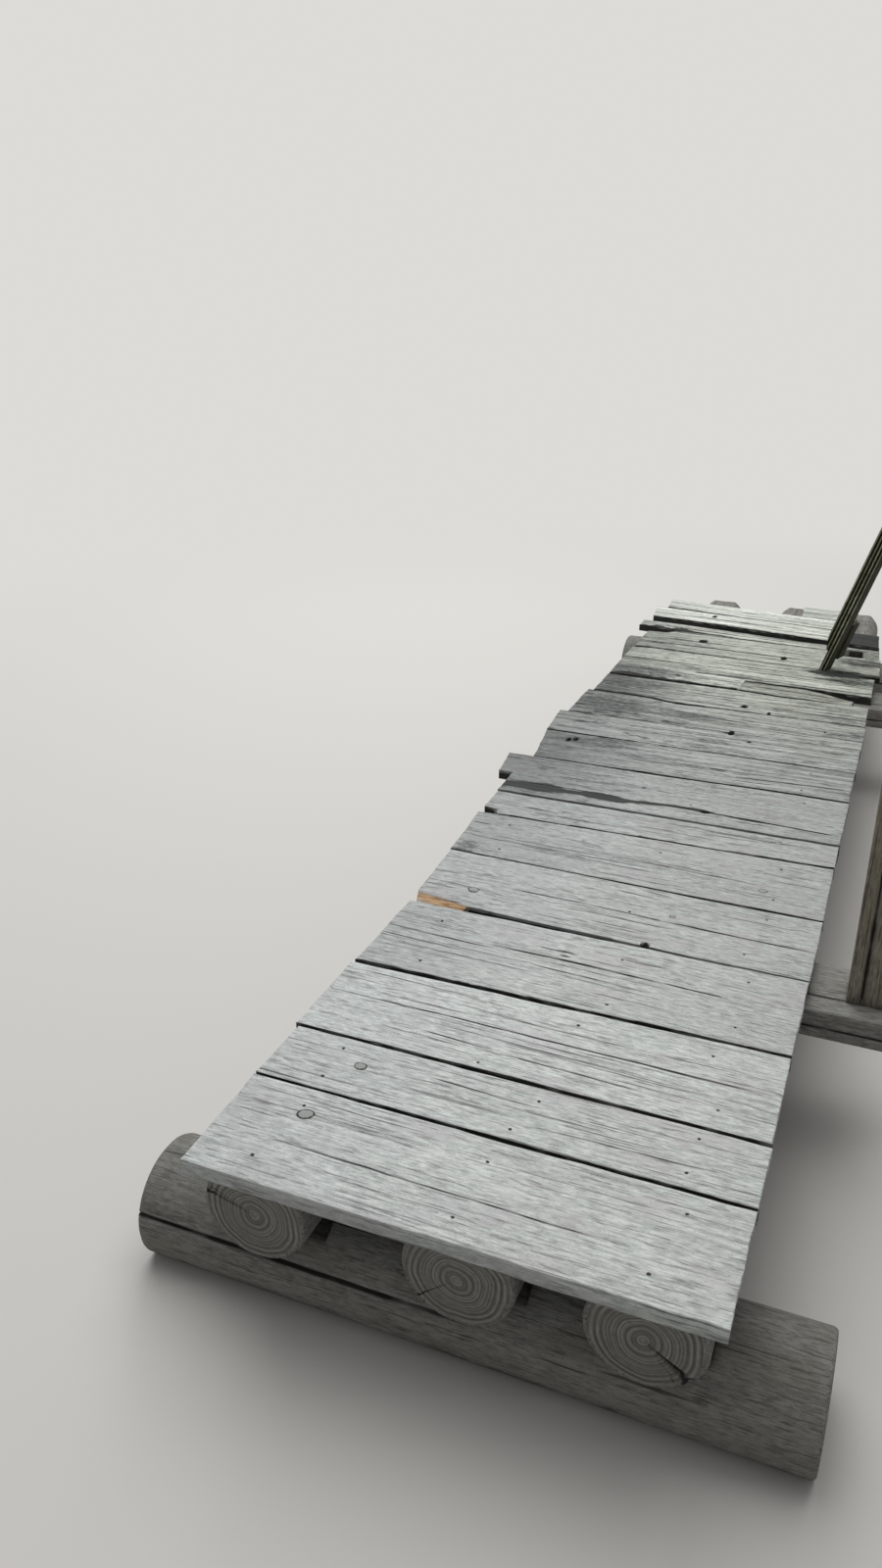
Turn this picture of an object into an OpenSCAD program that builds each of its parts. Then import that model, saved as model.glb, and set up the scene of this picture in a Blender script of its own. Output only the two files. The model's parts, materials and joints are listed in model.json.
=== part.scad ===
// Small plank footbridge. The origin is the middle of the near sill's flat
// underside. +Y runs along the bridge to the far sill, +X to the right-hand
// side, where the handrail stands, and +Z is up. Sizes are in millimetres.

/* [Span] */
// Distance from the near sill to the far sill
span = 3750; // [3500:10:4000]
// Width of the deck over its squarest planks
deck_w = 970; // [900:10:1050]
// Thickness of the planks that carry the raking strut
plank_t = 30; // [26:1:36]

/* [Split plank] */
// Length of the strip that has split off a plank, to its broken-off end
strip_l = 400; // [350:5:405]
// Width of that strip where it is still whole
strip_w = 96; // [88:1:97]
// Thickness that is left of it
strip_t = 27; // [20:1:29]

/* [Sills] */
// Diameter of a sill log
sill_d = 240; // [220:5:260]
// Length of a sill log
sill_l = 1280; // [1100:10:1600]
// Depth hewn off the underside of a sill, so that it lies flat
sill_flat = 30; // [25:1:40]
// Depth of the seats cut in a sill for the stringers
seat_depth = 30; // [22:1:40]
// Width of those seats
seat_w = 200; // [196:2:215]

/* [Stringers] */
// Diameter of a stringer log at its thick near end
log_d_near = 210; // [204:2:214]
// Diameter of a stringer log at its thin far end
log_d_far = 184; // [180:2:190]
// Height of the hewn tops of the stringers over the seats
log_h = 155; // [150:1:158]
// Depth hewn off a stringer where it sits on a sill
log_flat = 15; // [12:1:20]

/* [Cross bearers] */
// Width of a cross bearer
bearer_w = 200; // [160:5:220]
// Depth of a cross bearer, let in flush with the stringer tops
bearer_t = 70; // [60:1:80]
// Distance of each bearer from the middle of the span
bearer_off = 1005; // [950:5:1060]

/* [Handrail] */
// Side of a square handrail post
post_w = 90; // [80:1:100]
// Height of the top of the posts over the deck
post_h = 1060; // [1050:5:1100]
// Height of the top rail's section
rail_t = 45; // [40:1:60]
// How far the rails run on past each post
rail_over = 780; // [600:10:820]
// Height of the middle of the lower rail over the deck
mid_rail_h = 520; // [420:5:620]
// Width of the lower rail board
mid_rail_w = 95; // [80:1:110]
// Thickness of the lower rail board
mid_rail_t = 28; // [22:1:32]

/* [Raking strut] */
// Width of the strut's grooved face
strut_w = 50; // [44:1:60]
// Depth of the strut behind that face
strut_d = 48; // [40:1:56]
// How far under the post's top the strut's axis meets the post
strut_drop = 120; // [115:5:160]
// Distance from one groove of the strut to the next
groove_pitch = 14; // [12:0.5:15]
// Width of a groove, which is half round
groove_w = 8.5; // [6:0.5:10]
// Length of the strut's foot that is cut back to a tongue
foot_l = 90; // [70:5:110]
// Depth of the short cleat on the back of the strut
cleat_t = 44; // [30:1:50]
// Length of that cleat
cleat_l = 160; // [120:5:220]
// How far up the strut the cleat begins
cleat_up = 52; // [45:1:90]
// How far the cleat stands out past the strut's right side
cleat_out = 6; // [2:1:10]

/* [Hidden] */
WOOD_GREY = "#a09d97";
WOOD_BROWN = "#7c6a55";
LOG_BROWN = "#6f5f4e";

SIDES = 96;
// Reach of the blocks that cut other shapes, well over the part's own size
CUT = 2400;

SILL_Z = sill_d / 2 - sill_flat;
SEAT_Z = sill_d - sill_flat - seat_depth;
LOG_TOP = SEAT_Z + log_h;
DECK_Z = LOG_TOP + plank_t;
MID_Y = span / 2;

// Where the stringers run out past the sills
LOG_NEAR_Y = -150;
LOG_FAR_Y = span + 330;
LOG_L = LOG_FAR_Y - LOG_NEAR_Y;

// Places of the three stringers across the deck, at the near and far sill
LEFT_X = [140 - deck_w / 2, 220 - deck_w / 2];
MIDDLE_X = [40, 85];
RIGHT_X = [deck_w / 2 - 130, deck_w / 2 - 135];

BEARER_Y = [MID_Y - bearer_off, MID_Y + bearer_off];
BEARER_LEFT_X = -deck_w / 2 + 25;
BEARER_RIGHT_X = deck_w / 2 + 205;
POST_X = deck_w / 2 + 80;
TENON = [60, 60];

// The planks and the strut's foot are placed as on a deck of this size
DRAWN_W = 970;
DRAWN_SPAN = 3750;

STRUT_FOOT = concat(on_deck([280, 3104]), DECK_Z);
STRUT_TOP = [POST_X, BEARER_Y[1], DECK_Z + post_h - strut_drop];
STRUT_RUN = STRUT_TOP - STRUT_FOOT;
STRUT_TILT = atan2(norm([STRUT_RUN[0], STRUT_RUN[1]]), STRUT_RUN[2]);
STRUT_TURN = atan2(STRUT_RUN[1], STRUT_RUN[0]);
STRUT_ROLL = 13;
STRUT_L = norm(STRUT_RUN);

// Thickness and outline of each plank, from the near end to the far end. The
// outlines go round from the near left corner by the far left one.
PLANKS = [
    [plank_t + 2, [[-480, -170], [-482, 90], [485, 90], [484, -170]]],
    [plank_t - 1, [[-484, 100], [-480, 264], [487, 262], [486, 100]]],
    [plank_t + 1, [[-488, 270], [-485, 525], [484, 537], [485, 267]]],
    [plank_t, [[-482, 537], [-476, 831], [487, 831], [486, 545]]],
    [plank_t + 1, [[-462, 834], [-475, 884], [-484, 1126], [100, 1112], [488, 1106],
        [487, 834], [250, 834], [100, 838.5], [-331, 854], [-338, 834]]],
    [plank_t, [[-487, 1132], [-499, 1380], [486, 1400], [488, 1112], [100, 1118]]],
    [plank_t - 2, [[-446, 1389], [-458, 1414], [-497, 1420], [-499, 1539], [487, 1541], [486, 1408]]],
    [plank_t + 1, [[-501, 1544], [-501, 1682], [-546, 1684], [-563, 1832], [-165, 1832], [-145, 1828],
        [20, 1829], [120, 1833], [250, 1839], [488, 1838], [487, 1546]]],
    [plank_t, [[-483, 1838], [-514, 2075], [486, 2075], [486, 1847],
        [250, 1848], [60, 1840], [-160, 1841], [-175, 1838]]],
    [plank_t + 2, [[-514, 2076], [-528, 2271], [487, 2272], [487, 2076]]],
    [plank_t, [[-500, 2275], [-497, 2526], [-262, 2516], [-215, 2499], [-150, 2490], [-80, 2492],
        [0, 2496.5], [488, 2498], [488, 2276]]],
    [plank_t - 1, [[-478, 2533], [-476, 2733], [0, 2719], [180, 2705], [483, 2707],
        [484, 2501], [0, 2500], [-80, 2501], [-194, 2503], [-256, 2523]]],
    [plank_t, [[-474, 2748], [-474, 2966], [482, 2936], [484, 2818],
        [329, 2824], [194, 2836], [27, 2834], [20, 2734], [-180, 2738]]],
    [plank_t, [[-474, 2970], [-472, 3106], [-356, 3113], [-180, 3103],
        [272, 3079], [400, 3060], [482, 3034], [482, 2940]]],
    [plank_t, [[-468, 3114], [-466, 3350], [-385, 3356], [-350, 3394], [-213, 3390], [59, 3361],
        [330, 3354], [345, 3300], [424, 3296], [486, 3290],
        [497, 3088], [272, 3086], [-180, 3110], [-356, 3120]]],
    [plank_t - 2, [[-522, 3436], [-522, 3524], [-260, 3494], [-68, 3470], [146, 3441], [475, 3422],
        [482, 3302], [424, 3306], [412, 3384], [352, 3386], [338, 3362], [59, 3371], [-213, 3399]]],
    [plank_t + 1, [[-496, 3592], [-515, 3752], [460, 3634], [471, 3456]]],
    [plank_t, [[-466, 3760], [-477, 3902], [350, 3796], [364, 3658]]],
    [plank_t - 1, [[118, 3838], [112, 3992], [343, 3990], [350, 3808]]],
];

// A place on the drawn deck, moved with the deck's real width and span
function on_deck(p) = [p[0] + sign(p[0]) * (deck_w - DRAWN_W) / 2, p[1] * span / DRAWN_SPAN];

// One deck plank, lying on the hewn tops of the stringers
module plank(number) {
    color(WOOD_GREY)
        translate([0, 0, LOG_TOP])
            linear_extrude(PLANKS[number - 1][0])
                polygon([for (p = PLANKS[number - 1][1]) on_deck(p)]);
}

// The strip that has split off the thirteenth plank. It narrows to its right
// end, which has broken off short.
module broken_strip() {
    root = on_deck([27.5, 2735]);
    color(WOOD_BROWN)
        translate([root[0], root[1], LOG_TOP])
            linear_extrude(strip_t)
                polygon([
                    [-7, 0], [0, strip_w], [0.56 * strip_l, strip_w - 8],
                    [0.76 * strip_l, strip_w - 32], [strip_l, strip_w / 4],
                    [strip_l - 4, -19], [0.34 * strip_l, -18],
                ]);
}

// A round log along +Y that tapers to its far end, its axis turned to run
// from one place across the deck to another
module log_shape(x) {
    turn = atan2(x[0] - x[1], span);
    translate([x[0], 0, SEAT_Z - log_flat])
        rotate([0, 0, turn])
            translate([0, LOG_NEAR_Y, 0])
                tapered_round();
}

// The tapered round, lying with its lowest line level on z = 0
module tapered_round() {
    drop = (log_d_near - log_d_far) / 2;
    slope = atan2(drop, LOG_L);
    translate([0, 0, log_d_near / 2])
        rotate([-90 - slope, 0, 0])
            cylinder(h = LOG_L, d1 = log_d_near, d2 = log_d_far, $fn = SIDES);
}

// Everything above the level of the hewn tops
module above_tops() {
    translate([-CUT / 2, LOG_NEAR_Y - CUT / 2, LOG_TOP])
        cube([CUT, LOG_L + CUT, CUT]);
}

// The flat hewn under a stringer for a sill at y
module under_flat(y) {
    translate([-CUT / 2, y - sill_d / 2 - 10, SEAT_Z - CUT])
        cube([CUT, sill_d + 20, CUT]);
}

// A stringer, hewn flat on top, with its two seats and its bearer housings
module stringer(x) {
    color(LOG_BROWN)
        difference() {
            log_shape(x);
            above_tops();
            under_flat(0);
            under_flat(span);
            bearer_block(BEARER_Y[0]);
            bearer_block(BEARER_Y[1]);
        }
}

// Place of a stringer's axis across the deck at y
function log_x(x, y) = x[0] + (x[1] - x[0]) * y / span;

// A sill log across the bridge, flat below, with a seat for each stringer
module sill(y) {
    color(LOG_BROWN)
        difference() {
            translate([-sill_l / 2, y, SILL_Z])
                rotate([0, 90, 0])
                    cylinder(h = sill_l, d = sill_d, $fn = SIDES);
            translate([-sill_l, y - sill_d, -CUT])
                cube([2 * sill_l, 2 * sill_d, CUT]);
            for (x = [LEFT_X, MIDDLE_X, RIGHT_X])
                translate([log_x(x, y) - seat_w / 2, y - sill_d, SEAT_Z])
                    cube([seat_w, 2 * sill_d, CUT]);
        }
}

// The squared block of a cross bearer, top level with the stringer tops
module bearer_block(y) {
    translate([BEARER_LEFT_X, y - bearer_w / 2, LOG_TOP - bearer_t])
        cube([BEARER_RIGHT_X - BEARER_LEFT_X, bearer_w, bearer_t]);
}

// The block of a post's tenon, which is as long as the bearer is deep, or longer
module tenon(y, more = 0) {
    translate([POST_X + (post_w - TENON[0]) / 2, y - TENON[1] / 2, LOG_TOP - bearer_t - more])
        cube([TENON[0], TENON[1], bearer_t + 2 * more]);
}

// A cross bearer, which runs out to the right and has a mortise through it
module cross_bearer(y) {
    color(LOG_BROWN)
        difference() {
            bearer_block(y);
            tenon(y, 5);
        }
}

// A handrail post with its tenon
module post(y) {
    color(WOOD_GREY)
        union() {
            translate([POST_X, y - post_w / 2, LOG_TOP])
                cube([post_w, post_w, plank_t + post_h]);
            tenon(y);
        }
}

// The rail on top of the posts, with its two upper edges planed off
module top_rail() {
    edge = rail_t / 3;
    color(WOOD_GREY)
        translate([POST_X, BEARER_Y[1] + rail_over, DECK_Z + post_h])
            rotate([90, 0, 0])
                linear_extrude(BEARER_Y[1] - BEARER_Y[0] + 2 * rail_over)
                    polygon([
                        [0, 0], [post_w, 0], [post_w, rail_t - edge],
                        [post_w - edge, rail_t], [edge, rail_t], [0, rail_t - edge],
                    ]);
}

// The board on the outer faces of the posts
module lower_rail() {
    color(WOOD_GREY)
        translate([POST_X + post_w, BEARER_Y[0] - rail_over, DECK_Z + mid_rail_h - mid_rail_w / 2])
            cube([mid_rail_t, BEARER_Y[1] - BEARER_Y[0] + 2 * rail_over, mid_rail_w]);
}

// Turns its children to the strut's slope, with z along the strut's axis
module along_strut() {
    translate(STRUT_FOOT)
        rotate([0, STRUT_TILT, STRUT_TURN])
            rotate([0, 0, STRUT_ROLL])
                children();
}

// The room between the deck, the far post and the top rail
module strut_room() {
    translate([POST_X - CUT, BEARER_Y[1] - CUT / 2, DECK_Z])
        cube([CUT, CUT, post_h - 5]);
}

// The strut's square bar, with half-round grooves down its front face
module grooved_bar() {
    difference() {
        translate([-strut_w / 2, -strut_d / 2, -strut_w])
            cube([strut_w, strut_d, STRUT_L + 4 * strut_w]);
        for (x = [-groove_pitch, 0, groove_pitch])
            translate([x, -strut_d / 2, -2 * strut_w])
                cylinder(h = STRUT_L + 6 * strut_w, d = groove_w, $fn = 24);
    }
}

// What is cut off the left of the strut's foot, down to a tongue on the right
module foot_cut() {
    left = -strut_w / 2 - 1;
    rotate([90, 0, 0])
        linear_extrude(2 * strut_d, center = true)
            polygon([
                [left, foot_l + 66], [-strut_w / 4, foot_l + 4], [-2, foot_l],
                [0, -2 * strut_w], [left, -2 * strut_w],
            ]);
}

// The raking strut, cut flat on the deck and against the far post
module raking_strut() {
    color(WOOD_BROWN)
        intersection() {
            along_strut()
                difference() {
                    grooved_bar();
                    foot_cut();
                }
            strut_room();
        }
}

// The short cleat on the back of the strut, square at both ends
module strut_cleat() {
    color(WOOD_BROWN)
        along_strut()
            translate([cleat_out - strut_w / 2, strut_d / 2, cleat_up])
                cube([strut_w, cleat_t, cleat_l]);
}

plank(1);  // plank_01
plank(2);  // plank_02
plank(3);  // plank_03
plank(4);  // plank_04
plank(5);  // plank_05
plank(6);  // plank_06
plank(7);  // plank_07
plank(8);  // plank_08
plank(9);  // plank_09
plank(10);  // plank_10
plank(11);  // plank_11
plank(12);  // plank_12
plank(13);  // plank_13
plank(14);  // plank_14
plank(15);  // plank_15
plank(16);  // plank_16
plank(17);  // plank_17
plank(18);  // plank_18
plank(19);  // plank_19
broken_strip();
stringer(LEFT_X);  // left_stringer
stringer(MIDDLE_X);  // middle_stringer
stringer(RIGHT_X);  // right_stringer
sill(0);  // near_sill
sill(span);  // far_sill
cross_bearer(BEARER_Y[0]);  // near_cross_bearer
cross_bearer(BEARER_Y[1]);  // far_cross_bearer
post(BEARER_Y[0]);  // near_post
post(BEARER_Y[1]);  // far_post
top_rail();
lower_rail();
raking_strut();
strut_cleat();
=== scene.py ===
"""Dresses the small plank footbridge: weathered boards on hewn logs, with a handrail and a raking strut."""

import json
import math
from collections import namedtuple
from types import SimpleNamespace

import bmesh
import bpy
import numpy as np
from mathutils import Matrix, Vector
from mathutils.bvhtree import BVHTree


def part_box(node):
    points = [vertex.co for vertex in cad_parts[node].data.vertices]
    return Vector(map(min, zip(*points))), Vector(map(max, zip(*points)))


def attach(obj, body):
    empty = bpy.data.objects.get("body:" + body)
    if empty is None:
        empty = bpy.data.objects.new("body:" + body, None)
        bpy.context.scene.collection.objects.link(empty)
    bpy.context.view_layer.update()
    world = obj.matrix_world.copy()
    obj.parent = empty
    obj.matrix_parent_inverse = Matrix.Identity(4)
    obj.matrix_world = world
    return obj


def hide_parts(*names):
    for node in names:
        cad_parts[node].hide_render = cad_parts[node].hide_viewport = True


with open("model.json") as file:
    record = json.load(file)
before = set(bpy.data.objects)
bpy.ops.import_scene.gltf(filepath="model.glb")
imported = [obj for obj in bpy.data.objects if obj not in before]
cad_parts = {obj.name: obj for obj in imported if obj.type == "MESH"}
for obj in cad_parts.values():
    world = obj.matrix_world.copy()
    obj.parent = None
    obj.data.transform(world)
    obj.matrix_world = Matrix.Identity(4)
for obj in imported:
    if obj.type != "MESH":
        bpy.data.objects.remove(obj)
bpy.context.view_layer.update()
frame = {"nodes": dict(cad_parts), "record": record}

MM = 0.001
SURROUND = "#dddbd7"

# Levels and places that the bridge is set out by, in metres
DECK_Z = 0.365
LOG_TOP = 0.335
SPAN = 3.750
BEARER_Y = (0.870, 2.880)
BEARER_HALF = 0.100
# Each stringer's place over the near sill and the far one, its axis level, and its pith's height over that
STRINGER_X = ((-0.345, -0.265), (0.040, 0.085), (0.355, 0.350))
STRINGER_Z = 0.236
STRINGER_PITH = 0.028
# Half the length of a stringer's flat on a sill, and half the width of a sill's seat for it
FLAT_HALF = 0.130
SEAT_HALF = 0.100
# The level of a sill's axis, then the handrail's places
SILL_Z = 0.090
POST_X = 0.610
RAIL_TOP = 1.470
LOWER_RAIL_FACE_X = 0.683
LOWER_RAIL_Z = 0.885
STRUT_FOOT = Vector((0.280, 3.104, DECK_Z))
STRUT_HEAD = Vector((0.565, 2.880, 1.305))
STRUT_ROLL = math.radians(13)


# Randomness

def cell_value(cells, seed):
    """A repeatable value from 0 to 1 for each place with whole-number coordinates."""
    n = cells[..., 0] * 73856093 ^ cells[..., 1] * 19349663 ^ cells[..., 2] * 83492791
    n = (n ^ (seed * 40503 + 977)) & 0x7FFFFFFF
    n = ((n ^ (n >> 13)) * 1274126177) & 0x7FFFFFFF
    n = ((n ^ (n >> 15)) * 668265263) & 0x7FFFFFFF
    return ((n ^ (n >> 16)) & 0xFFFF) / 65535


def swell(a, b=0.0, c=0.0, seed=0):
    """Smooth random rise and fall from -1 to 1, one swing for about every unit of a, b and c."""
    a, b, c = np.broadcast_arrays(np.asarray(a, float), b, c)
    points = np.stack([a, b, c], -1)
    low = np.floor(points).astype(np.int64)
    part = points - low
    part = part * part * (3 - 2 * part)
    total = 0
    for corner in np.ndindex(2, 2, 2):
        weight = np.prod(np.where(corner, part, 1 - part), axis=-1)
        total = total + weight * cell_value(low + np.array(corner), seed)
    return 2 * total - 1


def ramp(value, low, high):
    """Eases from 0 at low to 1 at high."""
    t = np.clip((value - low) / (high - low), 0, 1)
    return t * t * (3 - 2 * t)


# Cracks

# A crack: its place across the grain, its run along it, its size in metres, its darkness and its slant
Crack = namedtuple("Crack", "at start stop wide deep dark slope", defaults=(0.0,))


def coarser(y):
    """How many times wider than real a crack is drawn at a place along the deck, so that far ones show."""
    return float(np.interp(y, [0.4, 1.6, 2.3, 3.4], [0.95, 1.2, 2.0, 2.9]))


def seen_crack(x0, y0, x1, y1, wide=1.6, deep=5.0):
    """A drying crack between two places on the deck, given in millimetres: both places, its width and its
    depth in metres, and its darkness."""
    start, stop = np.array((x0, y0)) * MM, np.array((x1, y1)) * MM
    return start, stop, coarser(start[1]) * wide * MM, deep * MM, 0.50 + 0.18 * min(wide, 2.6)


def line_places(low, high, step, corners, cracks):
    """Places of the mesh lines with the grain: even ones, one at each corner and three at each crack."""
    fixed = list(corners)
    for c in cracks:
        fixed += [c.at - c.wide / 2, c.at, c.at + c.wide / 2]
    kept = []
    for place in sorted(f for f in fixed if low <= f <= high):
        if not kept or place - kept[-1] > 0.25 * MM:
            kept.append(place)
    even = np.linspace(low, high, max(2, round((high - low) / step) + 1))
    far = [e for e in even if min((abs(e - k) for k in kept), default=1) > 1.2 * MM]
    return np.array(sorted(kept + far))


def crack_depth(along, across, cracks):
    """How deep the cracks go at each place, in metres, and how dark they are drawn: dirt and painted shade in
    them.
    """
    depth = np.zeros_like(along)
    dark = np.zeros_like(along)
    for n, c in enumerate(cracks):
        reach = (along - c.start) / max(c.stop - c.start, 1e-6)
        taper = np.clip(6 * reach, 0, 1) * np.clip(6 * (1 - reach), 0, 1)
        taper = taper * (0.64 + 0.36 * swell(along / 0.035, c.at * 90, seed=40 + n))
        aside = np.abs(across - c.at) / (c.wide / 2)
        depth = np.maximum(depth, c.deep * taper * np.clip(1 - aside, 0, 1))
        dark = np.maximum(dark, c.dark * np.sqrt(taper) * np.clip(4 - 3 * aside, 0, 1))
    return depth, dark


def grain_wander(along, across, cracks, seed):
    """How far the grain strays sideways: a slow wave, and a pull that makes each crack slant as it should."""
    stray = 0.0024 * swell(along / 0.30, across / 0.07, seed=seed + 77)
    stray = stray + 0.0011 * swell(along / 0.055, across / 0.025, seed=seed + 78)
    for c in cracks:
        half = (c.stop - c.start) / 2
        run = along - (c.start + c.stop) / 2
        near = 1 - ramp(np.abs(run), half, half + 0.06)
        pull = c.slope * np.clip(run, -half, half)
        reach = 3 * abs(c.slope) * half + 4 * MM
        stray = stray + near * pull * np.clip(1.25 - np.abs(across - c.at) / reach, 0, 1)
    return stray


# Meshes

def new_object(name, verts, faces=()):
    """A new object in the scene with these points and faces."""
    mesh = bpy.data.meshes.new(name)
    mesh.from_pydata([tuple(v) for v in verts], [], faces)
    mesh.update()
    made = bpy.data.objects.new(name, mesh)
    bpy.context.scene.collection.objects.link(made)
    return made


def store(mesh, name, kind, values):
    """Stores a value at each point of a mesh, for a material or a node tree to read."""
    field = {"FLOAT": "value", "FLOAT_VECTOR": "vector", "FLOAT_COLOR": "color"}[kind]
    mesh.attributes.new(name, kind, "POINT").data.foreach_set(field, np.asarray(values, np.float32).ravel())


def wooden_piece(kind, node, verts, faces, grain, wear, cut, material):
    """A piece in its CAD node's place. It holds what its material reads: where a point lies in the tree, how
    it has worn and where shade is painted on it, and whether it is on an end that was cut across the grain."""
    piece = new_object(kind + "_" + node, verts, faces)
    store(piece.data, "grain", "FLOAT_VECTOR", grain)
    store(piece.data, "wear", "FLOAT_COLOR", wear)
    store(piece.data, "cut", "FLOAT", cut)
    piece.data.polygons.foreach_set("use_smooth", [True] * len(faces))
    piece.data.materials.append(material)
    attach(piece, "root")
    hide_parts(node)
    return piece


def editable(mesh):
    """A copy of a mesh to work on."""
    bm = bmesh.new()
    bm.from_mesh(mesh)
    return bm


def merged_copy(node):
    """A CAD node's mesh with its loose triangles joined up."""
    bm = editable(frame["nodes"][node].data)
    bmesh.ops.remove_doubles(bm, verts=bm.verts, dist=2e-5)
    bm.normal_update()
    return bm


def search_tree(bm):
    """A search tree for the surface of a working copy, which is let go."""
    tree = BVHTree.FromBMesh(bm)
    bm.free()
    return tree


def closed_ring(follow):
    """A closed line of points, from what follows each of them. It starts at the same point each time."""
    ring = [min(follow)]
    while follow[ring[-1]] != ring[0]:
        ring.append(follow[ring[-1]])
    return ring


def band(first, second):
    """Faces between two closed rings that have as many points each."""
    after = [(n, (n + 1) % len(first)) for n in range(len(first))]
    return [[first[n], first[m], second[m], second[n]] for n, m in after]


# Deck boards

def board_outline(node):
    """A board's outline seen from above, and its lowest and highest level."""
    bm = merged_copy(node)
    bm.verts.ensure_lookup_table()
    upper = {f for f in bm.faces if f.normal.z > 0.9}
    follow = {}
    for face in upper:
        for loop in face.loops:
            if not any(f in upper for f in loop.edge.link_faces if f is not face):
                follow[loop.vert.index] = loop.link_loop_next.vert.index
    points = np.array([bm.verts[i].co.xy for i in closed_ring(follow)], float)
    levels = [v.co.z for v in bm.verts]
    bm.free()
    return points, min(levels), max(levels)


def board_sides(points):
    """The near edge, right end, far edge and left end of an outline."""
    signs = ((1, 0.5), (-1, 0.5), (-1, -0.5), (1, -0.5))
    corners = [int(np.argmin(a * points[:, 0] + b * points[:, 1])) for a, b in signs]
    sides = []
    for start, stop in zip(corners, corners[1:] + corners[:1]):
        count = (stop - start) % len(points)
        sides.append(points[[(start + k) % len(points) for k in range(count + 1)]])
    near, right, far, left = sides
    return near, right, far[::-1], left[::-1]


def edge_distance(xy, points):
    """Each place's distance from the outline, the way in from there, and whether that edge is a sawn end."""
    best = np.full(len(xy), 1e9)
    inward = np.zeros_like(xy)
    is_end = np.zeros(len(xy), bool)
    for a, b in zip(points, np.roll(points, -1, axis=0)):
        run = b - a
        t = np.clip(((xy - a) @ run) / (run @ run), 0, 1)
        d = np.linalg.norm(xy - (a + t[:, None] * run), axis=1)
        closer = d < best
        best = np.where(closer, d, best)
        inward[closer] = np.array([-run[1], run[0]]) / np.linalg.norm(run)
        is_end[closer] = abs(run[1]) > abs(run[0])
    return best, inward, is_end


def board_grid(xs, ys, sides):
    """The upper face: straight lines with the grain, trimmed by the outline."""
    near, right, far, left = sides
    x, y = np.meshgrid(xs, ys)
    x = np.clip(x, np.interp(y, left[:, 1], left[:, 0]), np.interp(y, right[:, 1], right[:, 0]))
    y = np.clip(y, np.interp(x, near[:, 0], near[:, 1]), np.interp(x, far[:, 0], far[:, 1]))
    flat = np.stack([x.ravel(), y.ravel()], -1)
    _, first, index = np.unique(np.round(flat / 2e-5).astype(np.int64), axis=0,
                                return_index=True, return_inverse=True)
    index = index.reshape(x.shape)
    faces = []
    for j, i in np.ndindex(len(ys) - 1, len(xs) - 1):
        cell = [index[j, i], index[j, i + 1], index[j + 1, i + 1], index[j + 1, i]]
        cell = [int(c) for n, c in enumerate(cell) if c != cell[n - 1]]
        if len(set(cell)) > 2:
            faces.append(cell)
    return flat[first], faces


def rim_of(faces):
    """The closed line round a patch of faces, in the faces' own turning direction."""
    edges = set()
    for face in faces:
        for a, b in zip(face, face[1:] + face[:1]):
            if (b, a) in edges:
                edges.remove((b, a))
            else:
                edges.add((a, b))
    return closed_ring(dict(edges))


def wet_streak(x, y, ragged):
    """The dark wet streak along the eighth board, broad at the left and thin past the knot hole."""
    middle = np.interp(x, [-0.49, -0.37, -0.31, -0.22, -0.125, -0.09, 0.015, 0.065, 0.11, 0.50],
                       [1.599, 1.607, 1.604, 1.611, 1.605, 1.610, 1.624, 1.625, 1.618, 1.602])
    half = np.interp(
        x, [-0.49, -0.43, -0.37, -0.31, -0.275, -0.22, -0.16, -0.12, -0.055, 0.015, 0.11, 0.14, 0.24, 0.35],
        [0.020, 0.028, 0.033, 0.019, 0.012, 0.021, 0.020, 0.014, 0.010, 0.009, 0.011, 0.004, 0.007, 0.0])
    streak = (1 - ramp(np.abs(y - middle + ragged * 0.4), half * 0.52, half * 1.42 + 0.001)) * (half > 0)
    uneven = 1.14 + 0.20 * swell(x / 0.12, y / 0.014, seed=10) + 0.08 * swell(x / 0.03, y / 0.005, seed=12)
    return streak * uneven


# Dark patches on the deck: place and half-sizes in metres, and strength. Most are damp and algae; the last
# one is painted shadow on the right end of the seventeenth board.
PATCHES = [
    (-0.40, 1.578, 0.12, 0.026, 0.50), (-0.48, 1.600, 0.06, 0.040, 0.60), (-0.25, 1.435, 0.17, 0.022, 0.42),
    (-0.45, 1.165, 0.045, 0.040, 0.55), (-0.46, 1.135, 0.05, 0.012, 0.7), (0.005, 1.070, 0.035, 0.012, 0.4),
    (-0.43, 0.985, 0.016, 0.012, 0.4), (-0.15, 1.675, 0.03, 0.018, 0.45), (-0.20, 1.712, 0.05, 0.012, 0.4),
    (-0.50, 1.870, 0.06, 0.04, 0.45), (-0.34, 2.010, 0.17, 0.055, 0.52), (-0.26, 2.050, 0.12, 0.04, 0.50),
    (-0.10, 2.040, 0.14, 0.04, 0.32), (-0.36, 2.210, 0.05, 0.03, 0.45), (-0.37, 2.290, 0.13, 0.05, 0.46),
    (-0.38, 2.400, 0.22, 0.12, 0.62), (-0.21, 2.400, 0.15, 0.07, 0.50), (-0.39, 2.540, 0.17, 0.06, 0.52),
    (-0.34, 2.650, 0.17, 0.08, 0.54), (0.38, 2.650, 0.10, 0.05, 0.38), (-0.38, 2.810, 0.24, 0.11, 0.64),
    (-0.19, 2.800, 0.14, 0.05, 0.46), (0.33, 2.760, 0.12, 0.05, 0.38), (0.40, 2.980, 0.16, 0.05, 0.68),
    (0.36, 3.055, 0.16, 0.05, 1.10), (0.42, 3.230, 0.13, 0.08, 0.72), (-0.43, 3.380, 0.06, 0.035, 0.55),
    # The last patch is painted shadow on the right end of the seventeenth board.
    (0.42, 3.370, 0.16, 0.09, 0.60), (0.42, 3.550, 0.18, 0.12, 1.55),
]


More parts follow.
